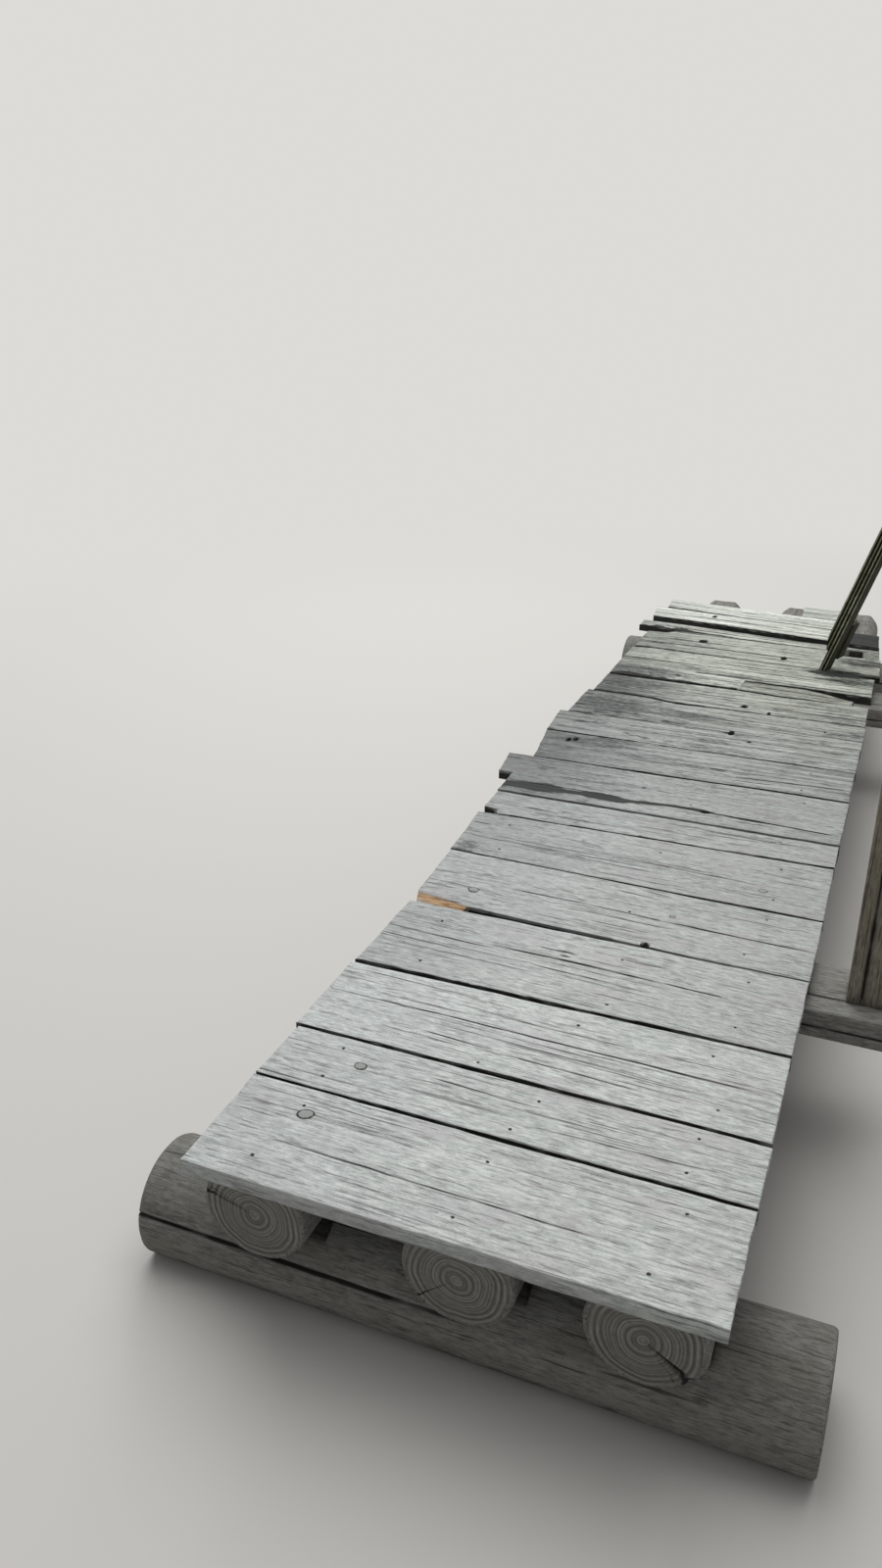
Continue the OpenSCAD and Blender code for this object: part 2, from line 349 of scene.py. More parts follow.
def grime_and_shadow_on_deck(x, y, along, across):
    """How dark damp and old algae have made the deck, from 0 to 1, and more than 1 where wet dirt lies on it
    as well and where painted shadow lies on the right end of the seventeenth board. A place has x and y on
    the deck, and lies along and across its board's own grain."""
    ragged = 0.010 * swell(x / 0.045, y / 0.03, seed=5) + 0.005 * swell(x / 0.012, y / 0.012, seed=6)
    grime_and_shadow = wet_streak(x, y, ragged)
    for px, py, rx, ry, strength in PATCHES:
        away = np.hypot((x - px + ragged) / rx, (y - py + ragged) / ry)
        grime_and_shadow = np.maximum(grime_and_shadow, strength * (1 - ramp(away, 0.45, 1.15)))
    # From the eighth board on the deck is mottled all over, and more so to the left
    amount = np.interp(y, [0.9, 1.7, 2.3, 2.9, 3.3, 3.5], [0.0, 0.50, 0.70, 0.54, 0.50, 0.20])
    amount = amount * np.interp(x, [-0.45, 0.1], [1.15, 0.80])
    mottle = 0.6 * swell(along / 0.10, across / 0.026, seed=7)
    mottle = mottle + 0.4 * swell(along / 0.035, across / 0.011, seed=8)
    grime_and_shadow = np.maximum(grime_and_shadow, amount * ramp(mottle, 0.05, 0.60))
    # Long thin dark lines of damp follow the grain under the trees
    lines = 0.84 * swell(along / 0.52, across / 0.0115, seed=13)
    lines = lines + 0.16 * swell(along / 0.05, across / 0.009, seed=14)
    amount = np.interp(y, [1.9, 2.5, 3.45, 3.55], [0, 1, 1, 0.35]) * 0.78
    return np.maximum(grime_and_shadow, amount * ramp(lines, 0.40, 0.72))


# Cracks that are seen in the boards, as seen_crack takes them. The boards count from the near end, and 20 is
# the strip that has split off.
SEEN_CRACKS = {
    1: [(-380, -60, 300, -70, 2.0, 7), (-490, 20, -80, 28)],
    2: [(-170, 210, 70, 204, 2.2, 7), (60, 150, 420, 158)],
    3: [(-500, 411, 500, 404, 2.8, 11), (-235, 343, -70, 333, 2.2, 7), (-60, 331, 230, 321, 2.2, 7),
        (-160, 452, 215, 446), (-300, 396, 205, 383), (-260, 377, 240, 366, 1.4)],
    4: [(-500, 706, -205, 699, 2.2, 9), (-225, 713, 195, 705, 3.0, 11), (185, 704, 330, 699, 2.4, 9),
        (-110, 668, 160, 655, 2.2, 7), (-120, 746, -15, 741, 3.0, 7), (80, 763, 190, 760, 2.0, 6),
        (-490, 672, -240, 664, 1.6), (-490, 646, -90, 636, 1.4), (40, 610, 215, 606, 1.8),
        (-90, 690, 230, 683, 1.4), (-480, 627, -250, 619, 1.3)],
    5: [(-265, 980, -55, 976, 2.2, 6), (-60, 975, 130, 967, 3.0, 7), (100, 966, 500, 957, 4.6, 10),
        (-490, 1001, -395, 1006, 1.8), (-490, 930, -390, 925, 1.8), (-40, 905, 115, 901, 1.8),
        (-30, 1075, 100, 1066), (50, 1097, 125, 1088), (-130, 942, 180, 935, 1.4)],
    6: [(-480, 1228, 70, 1223, 1.6, 6), (-240, 1268, 235, 1256, 1.7, 6), (-150, 1256, 320, 1238, 1.9, 7),
        (-400, 1246, -60, 1238, 1.3), (-490, 1312, -430, 1310, 1.8), (-300, 1210, 60, 1203, 1.2)],
    7: [(-390, 1459, -305, 1456, 3.2, 7), (-350, 1431, -110, 1433, 1.8), (-40, 1461, 60, 1462),
        (120, 1500, 460, 1496, 1.6)],
    8: [(-110, 1627, 110, 1616, 2.4, 9), (150, 1614, 500, 1600, 4.4, 9), (-380, 1706, -160, 1709, 2.0, 5),
        (-60, 1716, 0, 1712, 1.8), (-500, 1622, -120, 1629, 3.0, 6), (190, 1745, 240, 1742)],
    9: [(-240, 1952, -120, 1949, 2.2, 7), (-75, 1950, 62, 1950, 2.0, 6), (55, 1947, 122, 1946, 5.0, 9),
        (115, 1951, 260, 1949, 2.0, 6), (150, 1908, 470, 1926, 2.2, 7), (120, 1878, 270, 1886, 1.8)],
    10: [(-520, 2118, -330, 2113, 1.8), (-90, 2103, 200, 2106, 1.8), (-25, 2125, 10, 2124, 2.4),
        (-300, 2175, 340, 2169, 1.4)],
    11: [(370, 2390, 490, 2388, 3.4, 8), (-420, 2332, -180, 2326, 1.8), (-200, 2400, 130, 2392, 1.6),
        (160, 2344, 420, 2336, 1.6)],
    12: [(-440, 2600, -120, 2592, 1.8), (100, 2630, 440, 2622, 1.8), (-40, 2665, 210, 2662, 1.6)],
    13: [(-400, 2838, -110, 2836, 1.8), (-60, 2893, 330, 2880, 1.6), (150, 2858, 490, 2850, 1.8)],
    14: [(-220, 3012, 290, 2998, 1.8, 6), (-40, 3052, 330, 3040, 2.0, 6), (170, 2975, 490, 2966, 2.0, 6)],
    15: [(-500, 3212, 240, 3183, 3.2, 13), (200, 3180, 500, 3170, 1.8), (-430, 3278, -60, 3262, 1.6),
        (360, 3215, 510, 3208, 2.2)],
    16: [(-480, 3470, -60, 3425, 2.2, 7), (-60, 3425, 300, 3395, 1.8)],
    17: [(-300, 3640, 120, 3590, 1.8), (-60, 3575, 380, 3520, 1.6)],
    18: [(-360, 3818, -20, 3776, 1.6), (40, 3740, 350, 3703, 1.8)],
    19: [(140, 3895, 330, 3890, 1.8)],
    20: [(60, 2790, 360, 2768, 2.2, 7), (120, 2750, 400, 2738, 1.8)],
}

# Holes and pits in the deck: place and half-sizes in millimetres, and depth
PITS = [
    (115, 843, 10, 10, 24), (72, 2272, 10, 20, 24), (56, 2266, 13, 5, 9), (161, 2512, 6, 17, 22),
    (-396, 2024, 9, 16, 22), (-417, 2011, 8, 15, 20), (-213, 3281, 17, 20, 22), (127, 3176, 11, 22, 22),
    (140, 2213, 8, 7, 14), (362, 2401, 5, 7, 12), (-237, 3671, 9, 18, 18), (70, 2554, 12, 14, 20),
    (-222, 2806, 14, 7, 9), (-95, 1722, 8, 6, 4), (109, 1618, 15, 10, 14), (-42, 726, 12, 3, 5),
    (-50, 745, 16, 3, 5),
]

# How light each board is drawn, at its left end and from its middle on: its weathered tone, with painted
# shade from the trees over the left ends.
BOARD_TONES = {
    1: (0.58, 0.62), 2: (0.58, 0.62), 3: (0.62, 0.65), 4: (0.48, 0.57), 5: (0.49, 0.53), 6: (0.40, 0.49),
    7: (0.44, 0.50), 8: (0.28, 0.46), 9: (0.24, 0.43), 10: (0.35, 0.48), 11: (0.31, 0.44), 12: (0.19, 0.51),
    13: (0.38, 0.65), 14: (0.50, 0.61), 15: (0.41, 0.55), 16: (0.54, 0.64), 17: (0.75, 0.78),
    18: (0.62, 0.85), 19: (0.66, 0.70), 20: (0.46, 0.46),
}

# How many millimetres of dirt and painted gap shade reach from a gap on to the board beyond it, at the
# left end and from the middle on. Less than nothing is the share of the gap's darkness that crumbs of wood
# and leaf fill in.
GAP_DIRT_AND_SHADE = {
    3: (1.5, 0.8), 4: (3.6, 1.6), 5: (-0.45, -0.40), 6: (1.8, 1.2), 7: (3.0, 1.8), 8: (-0.65, -0.80),
    9: (0.5, 1.0), 10: (1.5, 0.0), 11: (9.0, 4.0), 12: (10.0, 7.0), 13: (30.0, 9.0), 14: (0.0, -0.4),
    15: (12.0, -0.95), 16: (34.0, 6.0), 17: (2.0, 6.0), 18: (4.0, -0.7),
}


def split_corner(x, y):
    """The near left corner of the fifth board has split away: its depth, its fresh wood and the painted
    shadow under its lip.
    """
    lip = np.interp(x, [-0.480, -0.331, -0.318], [0.884, 0.857, 0.830]) + 0.0015 * swell(x / 0.02, seed=3)
    below = lip - y
    inside = ramp(below, 0.0, 0.003) * (x < -0.318)
    greyed = 0.75 * ramp(below, 0.018, 0.034) * (1 - ramp(x, -0.44, -0.40))
    strands = 0.0012 * swell(x / 0.08, y / 0.005, seed=4)
    # A thin painted shadow under the lip.
    shade = 0.30 * (1 - ramp(np.abs(below - 0.002), 0.001, 0.004)) * (x < -0.318)
    return inside * (0.004 + 0.22 * np.clip(below, 0, 0.06) + strands), inside * (1 - greyed), shade


def board_cracks(number, seen, centre, turn, low, high, chance):
    """The cracks that are seen in a board, laid in its own frame, then small ones at random places."""
    cracks = []
    for start, stop, wide, deep, dark in seen:
        a, b = turn @ (start - centre), turn @ (stop - centre)
        slope = (b[1] - a[1]) / max(b[0] - a[0], 1e-6)
        cracks.append(Crack((a[1] + b[1]) / 2, a[0], b[0], wide, deep, dark, slope))
    cracks.sort(key=lambda c: c.at)
    is_near = number < 10
    for _ in range(int((high - low) / (0.030 if is_near else 0.018))):
        at = chance.uniform(low + 0.008, high - 0.008)
        start = chance.uniform(-0.56, 0.40)
        stop = start + chance.uniform(0.06, 0.30 if is_near else 0.50)
        if min(abs(at - c.at) for c in cracks) > 0.0035:
            wide = chance.uniform(0.9, 1.7) * MM * coarser(centre[1])
            deep = chance.uniform(1.5, 4.0) * MM
            cracks.append(Crack(at, start, stop, wide, deep, chance.uniform(0.45, 0.80)))
    return cracks


def board_pits(centre, turn, low, high):
    """The holes and pits that lie in a board, in its own frame."""
    pits = []
    for px, py, *sizes in PITS:
        along, across = turn @ (np.array((px, py)) * MM - centre)
        if low - 0.02 < across < high + 0.02:
            pits.append((along, across, *(size * MM for size in sizes)))
    return pits


def board_net(border, sides, cracks, pits):
    """A board's points and faces, and how far down each point lies: the upper face, then rings of points down
    the sides, each under the rim."""
    (west, low), (east, high) = border.min(0), border.max(0)
    near, right, far, left = sides
    corners = [[*near[:, 0], *far[:, 0]], [low, high, *left[:, 1], *right[:, 1]]]
    for pit in pits:
        for k in (-1.25, -1, -0.6, 0, 0.6, 1, 1.25):
            for axis in (0, 1):
                corners[axis].append(pit[axis] + k * pit[axis + 2])
    for k in (0, 2, 5, 9):
        corners[0] += [west + k * MM, east - k * MM]
    xs = line_places(west, east, 10.5 * MM, corners[0], [])
    ys = line_places(low, high, 4.2 * MM, corners[1], cracks)
    upper, faces = board_grid(xs, ys, sides)
    rim = rim_of(faces)
    points, down, previous = [upper], [0.0] * len(upper), rim
    for depth in (0.03, 0.14, 0.36, 0.64, 0.9, 1.0):
        current = list(range(len(down), len(down) + len(rim)))
        faces += [[a, d, c, b] for a, b, c, d in band(previous, current)]
        points.append(upper[rim])
        down += [depth] * len(rim)
        previous = current
    faces.append(previous[::-1])
    return np.concatenate(points), faces, np.array(down)


def board_wear_and_shade(number, seed, turn, placed, at):
    """The dirt and painted shade, the grime and painted shadow, the fresh wood and the lightness at each
    point of a board.
    """
    on_side = at.down > 0
    dirt_and_shade = np.maximum(at.dark, at.hole)
    # The top is drawn a little darker along its long edges by the gaps: dirt and painted shade.
    dirt_and_shade = np.maximum(dirt_and_shade, 0.12 * (1 - ramp(at.distance, 0.0005, 0.004)) * ~at.is_end * at.root * ~on_side)
    in_gap = ~at.is_end & ((number > 1) | (at.inward @ turn[:, 1] < 0))
    # A band of dirt and painted gap shade reaches on to the board beyond each gap.
    gap_band = np.interp(placed[:, 0], [-0.42, -0.10], GAP_DIRT_AND_SHADE.get(number, (0, 0))) * (at.inward[:, 1] > 0)
    ragged = 1 + 0.6 * swell(at.x / 0.03, seed=seed + 10) + 0.3 * swell(at.x / 0.011, seed=seed + 11)
    ragged = gap_band * MM * ragged
    beyond = 1 - ramp(at.distance, 0.7 * ragged, 1.3 * ragged + 1e-5)
    dirt_and_shade = np.maximum(dirt_and_shade, 0.95 * beyond * (gap_band > 0) * ~at.is_end)
    by_the_top = at.down < 0.2
    debris = (0.16 + 0.22 * swell(at.x / 0.025, seed=seed + 9)) * by_the_top
    # Sides that face a gap are drawn nearly black, dirt and painted shade in the narrow gap, lighter near the
    # top where crumbs lie; other sides are drawn darker towards the bottom.
    side_dirt_and_shade = np.where(in_gap, 0.90 + 0.1 * at.down - debris, 0.15 + 0.35 * at.down)
    side_dirt_and_shade = np.maximum(side_dirt_and_shade - np.maximum(-gap_band, 0) * by_the_top, at.hole)
    dirt_and_shade = np.where(on_side, side_dirt_and_shade, dirt_and_shade) * (1 - 0.85 * at.fresh)
    # The painted shadow under the lip of the split corner.
    dirt_and_shade = np.maximum(dirt_and_shade, at.lip * ~on_side)
    grime_and_shadow = grime_and_shadow_on_deck(placed[:, 0], placed[:, 1], at.x + number, at.y + 0.3 * number) * ~on_side
    # The left ends are drawn darker: painted shade from the trees, and weathering.
    tone = np.interp(placed[:, 0], [-0.42, -0.10], BOARD_TONES[number])
    return np.stack([np.maximum(dirt_and_shade, grime_and_shadow - 1), np.minimum(grime_and_shadow, 1), at.fresh * (1 - at.down), tone], -1)


def deck_board(number, node, material):
    """A rough-sawn deck board with raised grain, drying cracks, worn arrises and ragged ends."""
    points, low_z, top_z = board_outline(node)
    sides = board_sides(points)
    near, _, far, _ = sides
    centre = (near[0] + near[-1] + far[0] + far[-1]) / 4
    seen = [seen_crack(*row) for row in SEEN_CRACKS[number]]
    heading = sum(stop - start for start, stop, *_ in seen)
    angle = math.atan2(heading[1], heading[0])
    turn = np.array([[math.cos(angle), math.sin(angle)], [-math.sin(angle), math.cos(angle)]])
    border = (points - centre) @ turn.T
    low, high = border[:, 1].min(), border[:, 1].max()
    chance = np.random.default_rng(1000 + number)
    cracks = board_cracks(number, seen, centre, turn, low, high, chance)
    pits = board_pits(centre, turn, low, high)
    xy, faces, down = board_net(border, [(side - centre) @ turn.T for side in sides], cracks, pits)
    x, y = xy[:, 0], xy[:, 1]
    world = xy @ turn + centre
    distance, inward, is_end = edge_distance(xy, border)

    # Worn arrises, ridges and hollows. The thirteenth board and the strip split off it are one piece of wood
    # at the strip's root, so their arrises fade away there.
    seed = 100 + 7 * number
    root = ramp(np.hypot((world[:, 0] - 0.0235) / 0.016, (world[:, 1] - 2.785) / 0.075), 0.75, 1.3)
    worn_edge = (1.1 + 0.8 * swell(world[:, 0] / 0.05, world[:, 1] / 0.05, seed=seed)) * MM
    drop = worn_edge * root * (1 - np.clip(distance / (1.6 * worn_edge + 1e-6), 0, 1)) ** 2
    ridges = 0.5 + 0.5 * swell(x / 0.26, y / 0.0085, seed=seed + 1)
    hollows = 0.5 + 0.5 * swell(x / 0.16, y / 0.045, seed=seed + 2)
    drop = drop + 0.9 * MM * ridges + 1.3 * MM * hollows
    groove, dark = crack_depth(x, y, cracks)
    pit, hole = np.zeros_like(x), np.zeros_like(x)
    # Holes and pits are drawn dark inside: painted shade in their depths, and dirt.
    for px, py, rx, ry, depth in pits:
        away = np.hypot((x - px) / rx, (y - py) / ry)
        pit = np.maximum(pit, depth * np.sqrt(np.clip(1 - away ** 2, 0, 1)))
        hole = np.maximum(hole, min(1.0, 0.55 + depth / 0.030) * np.clip(6.2 - 5 * away, 0, 1))
    drop = drop + groove + pit
    fresh, lip = np.zeros_like(x), np.zeros_like(x)
    if node == "plank_05":
        sunk, fresh, lip = split_corner(world[:, 0], world[:, 1])
        drop = drop + sunk
    if node in ("plank_15", "plank_16"):
        chipped = 1 - ramp(np.hypot(world[:, 0] - 0.385, world[:, 1] - 3.342), 0.045, 0.075)
        fresh = 0.22 * chipped * (down > 0)
    if node == "broken_strip":
        drop = drop - 2.5 * MM + 3 * MM * ramp(world[:, 0], 0.20, 0.42)
    z = top_z - np.minimum(drop, (top_z - low_z) * 0.93)
    z = z * (1 - down) + low_z * down

    # Sides: the long edges are chipped here and there, and the ends are frayed between the grain lines
    chip = 0.35 + 0.35 * swell(x / 0.05, down * 0.8, seed=seed + 3)
    chip = chip + 2.2 * ramp(swell(x / 0.11, seed=seed + 4), 0.55, 1)
    fray = 1.7 + 0.7 * swell(y / 0.006, down * 1.3, seed=seed + 5) + 1.2 * swell(y / 0.055, seed=seed + 6)
    inset = np.where(is_end, fray, chip) * MM * root * (1 - np.clip(distance / 0.008, 0, 1))
    rough = 0.5 * MM * (1 + swell(x / 0.02, y / 0.02, down * 4, seed=seed + 8))
    inset = inset + rough * (down > 0) * root
    stray = grain_wander(x, y, cracks[:len(seen)], seed) * ramp(distance, 0.0, 0.012)
    placed = (np.stack([x, y + stray], -1) + inward * inset[:, None]) @ turn + centre

    at = SimpleNamespace(x=x, y=y, down=down, distance=distance, inward=inward, is_end=is_end, root=root,
                         dark=dark, hole=hole, fresh=fresh, lip=lip)
    wear = board_wear_and_shade(number, seed, turn, placed, at)
    pith = (chance.uniform(-0.09, 0.09), chance.uniform(0.03, 0.10))
    grain = np.stack([x + 3.1 * number, y - pith[0], z - top_z + pith[1]], -1)
    verts = np.concatenate([placed, z[:, None]], axis=1)
    return wooden_piece("board", node, verts, faces, grain, wear, is_end & (down > 0), material)


# Round timbers

def drying_check(turn_at, start, stop, wide, deep, slope=0.0):
    """A long drying crack in a log: its place round the log in degrees, its run along it in metres, and its
    size in millimetres. Its width becomes an angle, at the logs' usual radius of 0.1 m."""
    return Crack(math.radians(turn_at), start, stop, wide * MM / 0.1, deep * MM, 1.0, slope)


def log_radius(node, start, length, axes, along, angle):
    """How far the CAD surface lies from a log's axis, at each place along it and each angle round it."""
    surface = search_tree(merged_copy(node))
    level, upright, axis = axes
    margin, reach = 0.0004, 0.4
    radius = np.zeros_like(angle)
    for i, j in np.ndindex(angle.shape):
        origin = start + axis * min(max(along[i], margin), length - margin)
        way = level * math.cos(angle[i, j]) + upright * math.sin(angle[i, j])
        hit = surface.ray_cast(origin, way, reach)
        radius[i, j] = hit[3] if hit[0] is not None else radius[i, j - 1]
    return radius


def log_net(rim, groove, dark, pith, seed):
    """A log's points, faces, and the dirt and painted shade in its cracks: its side, and at each end rings of
    points that close in on the pith.
    The long checks go on into the ends as radial cracks."""
    rows, count = groove.shape
    rings = [list(range(row * count, (row + 1) * count)) for row in range(rows)]
    verts, faces, dirt_and_shade = list(rim.reshape(-1, 3)), [], list(dark.ravel())
    for low, high in zip(rings, rings[1:]):
        faces += band(low, high)
    for row, inner in ((0, 1), (rows - 1, -1)):
        previous = rings[row]
        for share in (0.9, 0.76, 0.6, 0.44, 0.28, 0.14):
            x, y = rim[row, :, 0] * share, rim[row, :, 1] * share + pith * (1 - share)
            rough = (1.0 + swell(x / 0.02, y / 0.02, seed=seed + 5)) * 1.2 * MM
            split = groove[row] * share * 1.3
            current = list(range(len(verts), len(verts) + count))
            verts += list(np.stack([x, y, rim[row, :, 2] + inner * (rough + split)], -1))
            # Radial cracks are drawn dark: dirt and painted shade in them.
            dirt_and_shade += list(np.clip(split / (6 * MM), 0, 0.9))
            faces += band(previous, current) if inner < 0 else band(current, previous)
            previous = current
        middle = len(verts)
        verts.append(np.array([0, pith, rim[row, 0, 2] + inner * 3 * MM]))
        dirt_and_shade.append(0.3)
        for a, b in zip(previous, previous[1:] + previous[:1]):
            faces.append([a, b, middle] if inner < 0 else [middle, b, a])
    return np.array(verts), faces, dirt_and_shade


def debarked_log(node, start, end, pith, steps, checks, material, seed):
    """A log without its bark: hewn flats and seats, long drying checks, raised grain and rough sawn ends."""
    start, end = Vector(start), Vector(end)
    length = (end - start).length
    axis = (end - start).normalized()
    level = axis.cross(Vector((0, 0, 1))).normalized()
    axes = (level, level.cross(axis), axis)
    stations = [0.0, 0.003, 0.008, length, length - 0.003, length - 0.008]
    half_step = 0.0006
    for step in steps:
        stations += [step - half_step, step + half_step]
    along = line_places(0, length, 0.021, stations, [])
    checks = sorted((drying_check(*check) for check in checks), key=lambda c: c.at)
    around = line_places(0, 2 * math.pi * (1 - 1 / 500), 2 * math.pi / 92, [0.0], checks)
    s, a = np.meshgrid(along, around, indexing="ij")
    # The grain wanders round the log too, but not where the first and last lines of the mesh meet
    free = ramp(a, 0, 0.3) * (1 - ramp(a, 5.98, 6.28))
    angle = a + grain_wander(s, a, checks, seed) * 8 * free
    groove, dark = crack_depth(s, a, checks)
    rise = 0.5 + 0.5 * swell(s / 0.22, np.cos(angle) * 7, np.sin(angle) * 7, seed=seed)
    lumps = 0.5 + 0.5 * swell(s / 0.45, np.cos(angle) * 1.6, np.sin(angle) * 1.6, seed=seed + 1)
    arris = 1 - np.clip(np.minimum(s, length - s) / 0.008, 0, 1)
    inset = 1.1 * MM * rise + 2.6 * MM * lumps + groove + 5 * MM * arris ** 2
    radius = log_radius(node, start, length, axes, along, angle) - inset
    rim = np.stack([np.cos(angle) * radius, np.sin(angle) * radius, s], -1)
    verts, faces, dirt_and_shade = log_net(rim, groove, dark, pith, seed)

    placed = verts @ np.array(axes) + np.array(start)
    x, y, z = placed.T
    damp = 0.75 * (1 - ramp(z + 0.02 * swell(x / 0.06, y / 0.06, seed=9), 0.0, 0.075))
    damp = np.maximum(damp, 0.35 * ramp(swell(x / 0.2, y / 0.35, z / 0.1, seed=seed), 0.2, 0.9))
    # The lower part of each log is drawn darker towards the bottom.
    under = 0.25 * (1 - ramp(z, 0.18, 0.30))
    wear = np.stack(np.broadcast_arrays(np.maximum(dirt_and_shade, under), damp, 0.0, 0.5), -1)
    grain = np.stack([verts[:, 2] + seed, verts[:, 0], verts[:, 1] - pith], -1)
    is_end = np.arange(len(verts)) >= groove.size
    wooden_piece("log", node, placed, faces, grain, wear, is_end, material)


def stringer(node, near_x, far_x, checks, material, seed):
    """One of the three long logs, from its end on the near bank to its end past the far sill."""
    slope = (far_x - near_x) / SPAN
    # The ends are cut square to the slanting log, so they start just inside its box
    inside = 2.5 * MM
    y0, y1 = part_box(node)[0].y + inside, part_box(node)[1].y - inside
    start, end = ((near_x + slope * y, y, STRINGER_Z) for y in (y0, y1))
    flats = [(y, BEARER_HALF) for y in BEARER_Y] + [(y, FLAT_HALF) for y in (0.0, SPAN)]
    steps = [y + side * half - y0 for y, half in flats for side in (-1, 1)]
    debarked_log(node, start, end, STRINGER_PITH, steps, checks, material, seed)


def sill(node, seats_x, checks, material, seed):
    """A sill log across the bridge, hewn flat below, with three seats on top."""
    low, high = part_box(node)
    y = (low.y + high.y) / 2
    steps = [x + side * SEAT_HALF - low.x for x in seats_x for side in (-1, 1)]
    debarked_log(node, (low.x, y, SILL_Z), (high.x, y, SILL_Z), 0.0, steps, checks, material, seed)


# Squared timbers

def squared_timber(node, axis, across, material, seed, splits=(), step=0.022, worn=1.5, tone=0.5,
                   furrowed=False):
    """A squared timber: its CAD shape cut into a fine net, with eased arrises, raised grain and splits.
    A split has its face, its place as a share of the width, its run as shares of the length, and its size.
    A furrowed timber has painted shade in the hollows on its lower side face, and the ridges between them are
    sun-bleached pale and lifted further by a painted highlight."""
    axis, across = Vector(axis).normalized(), Vector(across).normalized()
    ways = {"s": axis, "a": across, "b": axis.cross(across)}
    bm = merged_copy(node)
    bmesh.ops.dissolve_limit(bm, angle_limit=math.radians(0.5), verts=bm.verts, edges=bm.edges)
    limits = {}
    for key, way in ways.items():
        reach = [way.dot(v.co) for v in bm.verts]
        limits[key] = min(reach), max(reach)
    low, high = limits["s"]
    cracks = {"a": [], "b": []}
    for face, share, start, stop, wide, deep in splits:
        side = "b" if face[0] == "a" else "a"
        at = limits[side][0] + share * (limits[side][1] - limits[side][0])
        run = (low + start * (high - low), low + stop * (high - low))
        cracks[side].append((face, Crack(at, *run, wide * MM, deep * MM, 1.0)))

    def cut_net(key, pitch, rims, lines):
        first, last = limits[key]
        corners = [first + rim for rim in rims] + [last - rim for rim in rims]
        for place in line_places(first, last, pitch, corners, lines)[1:-1]:
            bmesh.ops.bisect_plane(bm, geom=bm.verts[:] + bm.edges[:] + bm.faces[:], dist=1e-6,
                                   plane_co=ways[key] * place, plane_no=ways[key])

    cut_net("s", step, (0.003, 0.009), [])
    for key in "ab":
        cut_net(key, 0.011, (0.003,), [crack for _, crack in cracks[key]])
    bm.normal_update()
    bm.verts.ensure_lookup_table()

    co = np.array([v.co for v in bm.verts])
    normal = np.array([v.normal for v in bm.verts])
    sharp = np.array([max((e.calc_face_angle(0.0) for e in v.link_edges), default=0) > 0.5 for v in bm.verts])
    faces = [[v.index for v in f.verts] for f in bm.faces]
    bm.free()
    s, a, b = (co @ np.array(way) for way in ways.values())
    inset = 0.35 * MM * (1 + swell(s / 0.2, a / 0.009, b / 0.009, seed=seed))
    chips = worn * (0.75 + 0.35 * swell(s / 0.05, a / 0.05, b / 0.05, seed=seed + 1))
    chips = chips + 2.2 * ramp(swell(s / 0.10, a / 0.1, b / 0.1, seed=seed + 2), 0.5, 1)
    inset = inset + sharp * chips * MM
    dirt_and_shade = np.zeros(len(co))
    # Splits are drawn dark on the face they open on: dirt and painted shade in them.
    for place, lines in ((a, cracks["a"]), (b, cracks["b"])):
        for face, crack in lines:
            depth, dark = crack_depth(s, place, [crack])
            sign = 1 if face[1] == "+" else -1
            shows = normal @ np.array(ways[face[0]]) * sign > 0.8
            inset = inset + depth * shows
            dirt_and_shade = np.maximum(dirt_and_shade, dark * shows)
    co = co - normal * inset[:, None]

    damp = 0.45 * ramp(swell(s / 0.25, a / 0.05, b / 0.05, seed=seed + 4), 0.25, 0.95)
    middle_a, middle_b = np.mean(limits["a"]), np.mean(limits["b"])
    # Furrows: painted shade in the hollows, and a painted highlight on the ridges between them.
    if furrowed:
        sunk = b - limits["b"][0]
        on_face = (sunk < 6 * MM) * (np.abs(a - middle_a) < 0.024)
        dirt_and_shade = np.maximum(dirt_and_shade, 0.95 * on_face * ramp(sunk, 1.2 * MM, 3.2 * MM))
        tone = tone + 1.35 * on_face * (1 - ramp(sunk, 0.6 * MM, 2.0 * MM))
    wear = np.stack(np.broadcast_arrays(dirt_and_shade, damp, 0.0, tone), -1)
    offset = np.random.default_rng(seed).uniform(-0.03, 0.03, 2)
    grain = np.stack([s + seed, a - middle_a - offset[0], b - middle_b - offset[1]], -1)
    is_end = np.abs(normal @ np.array(axis)) > 0.8
    wooden_piece("timber", node, co, faces, grain, wear, is_end, material)


# Nails and knots

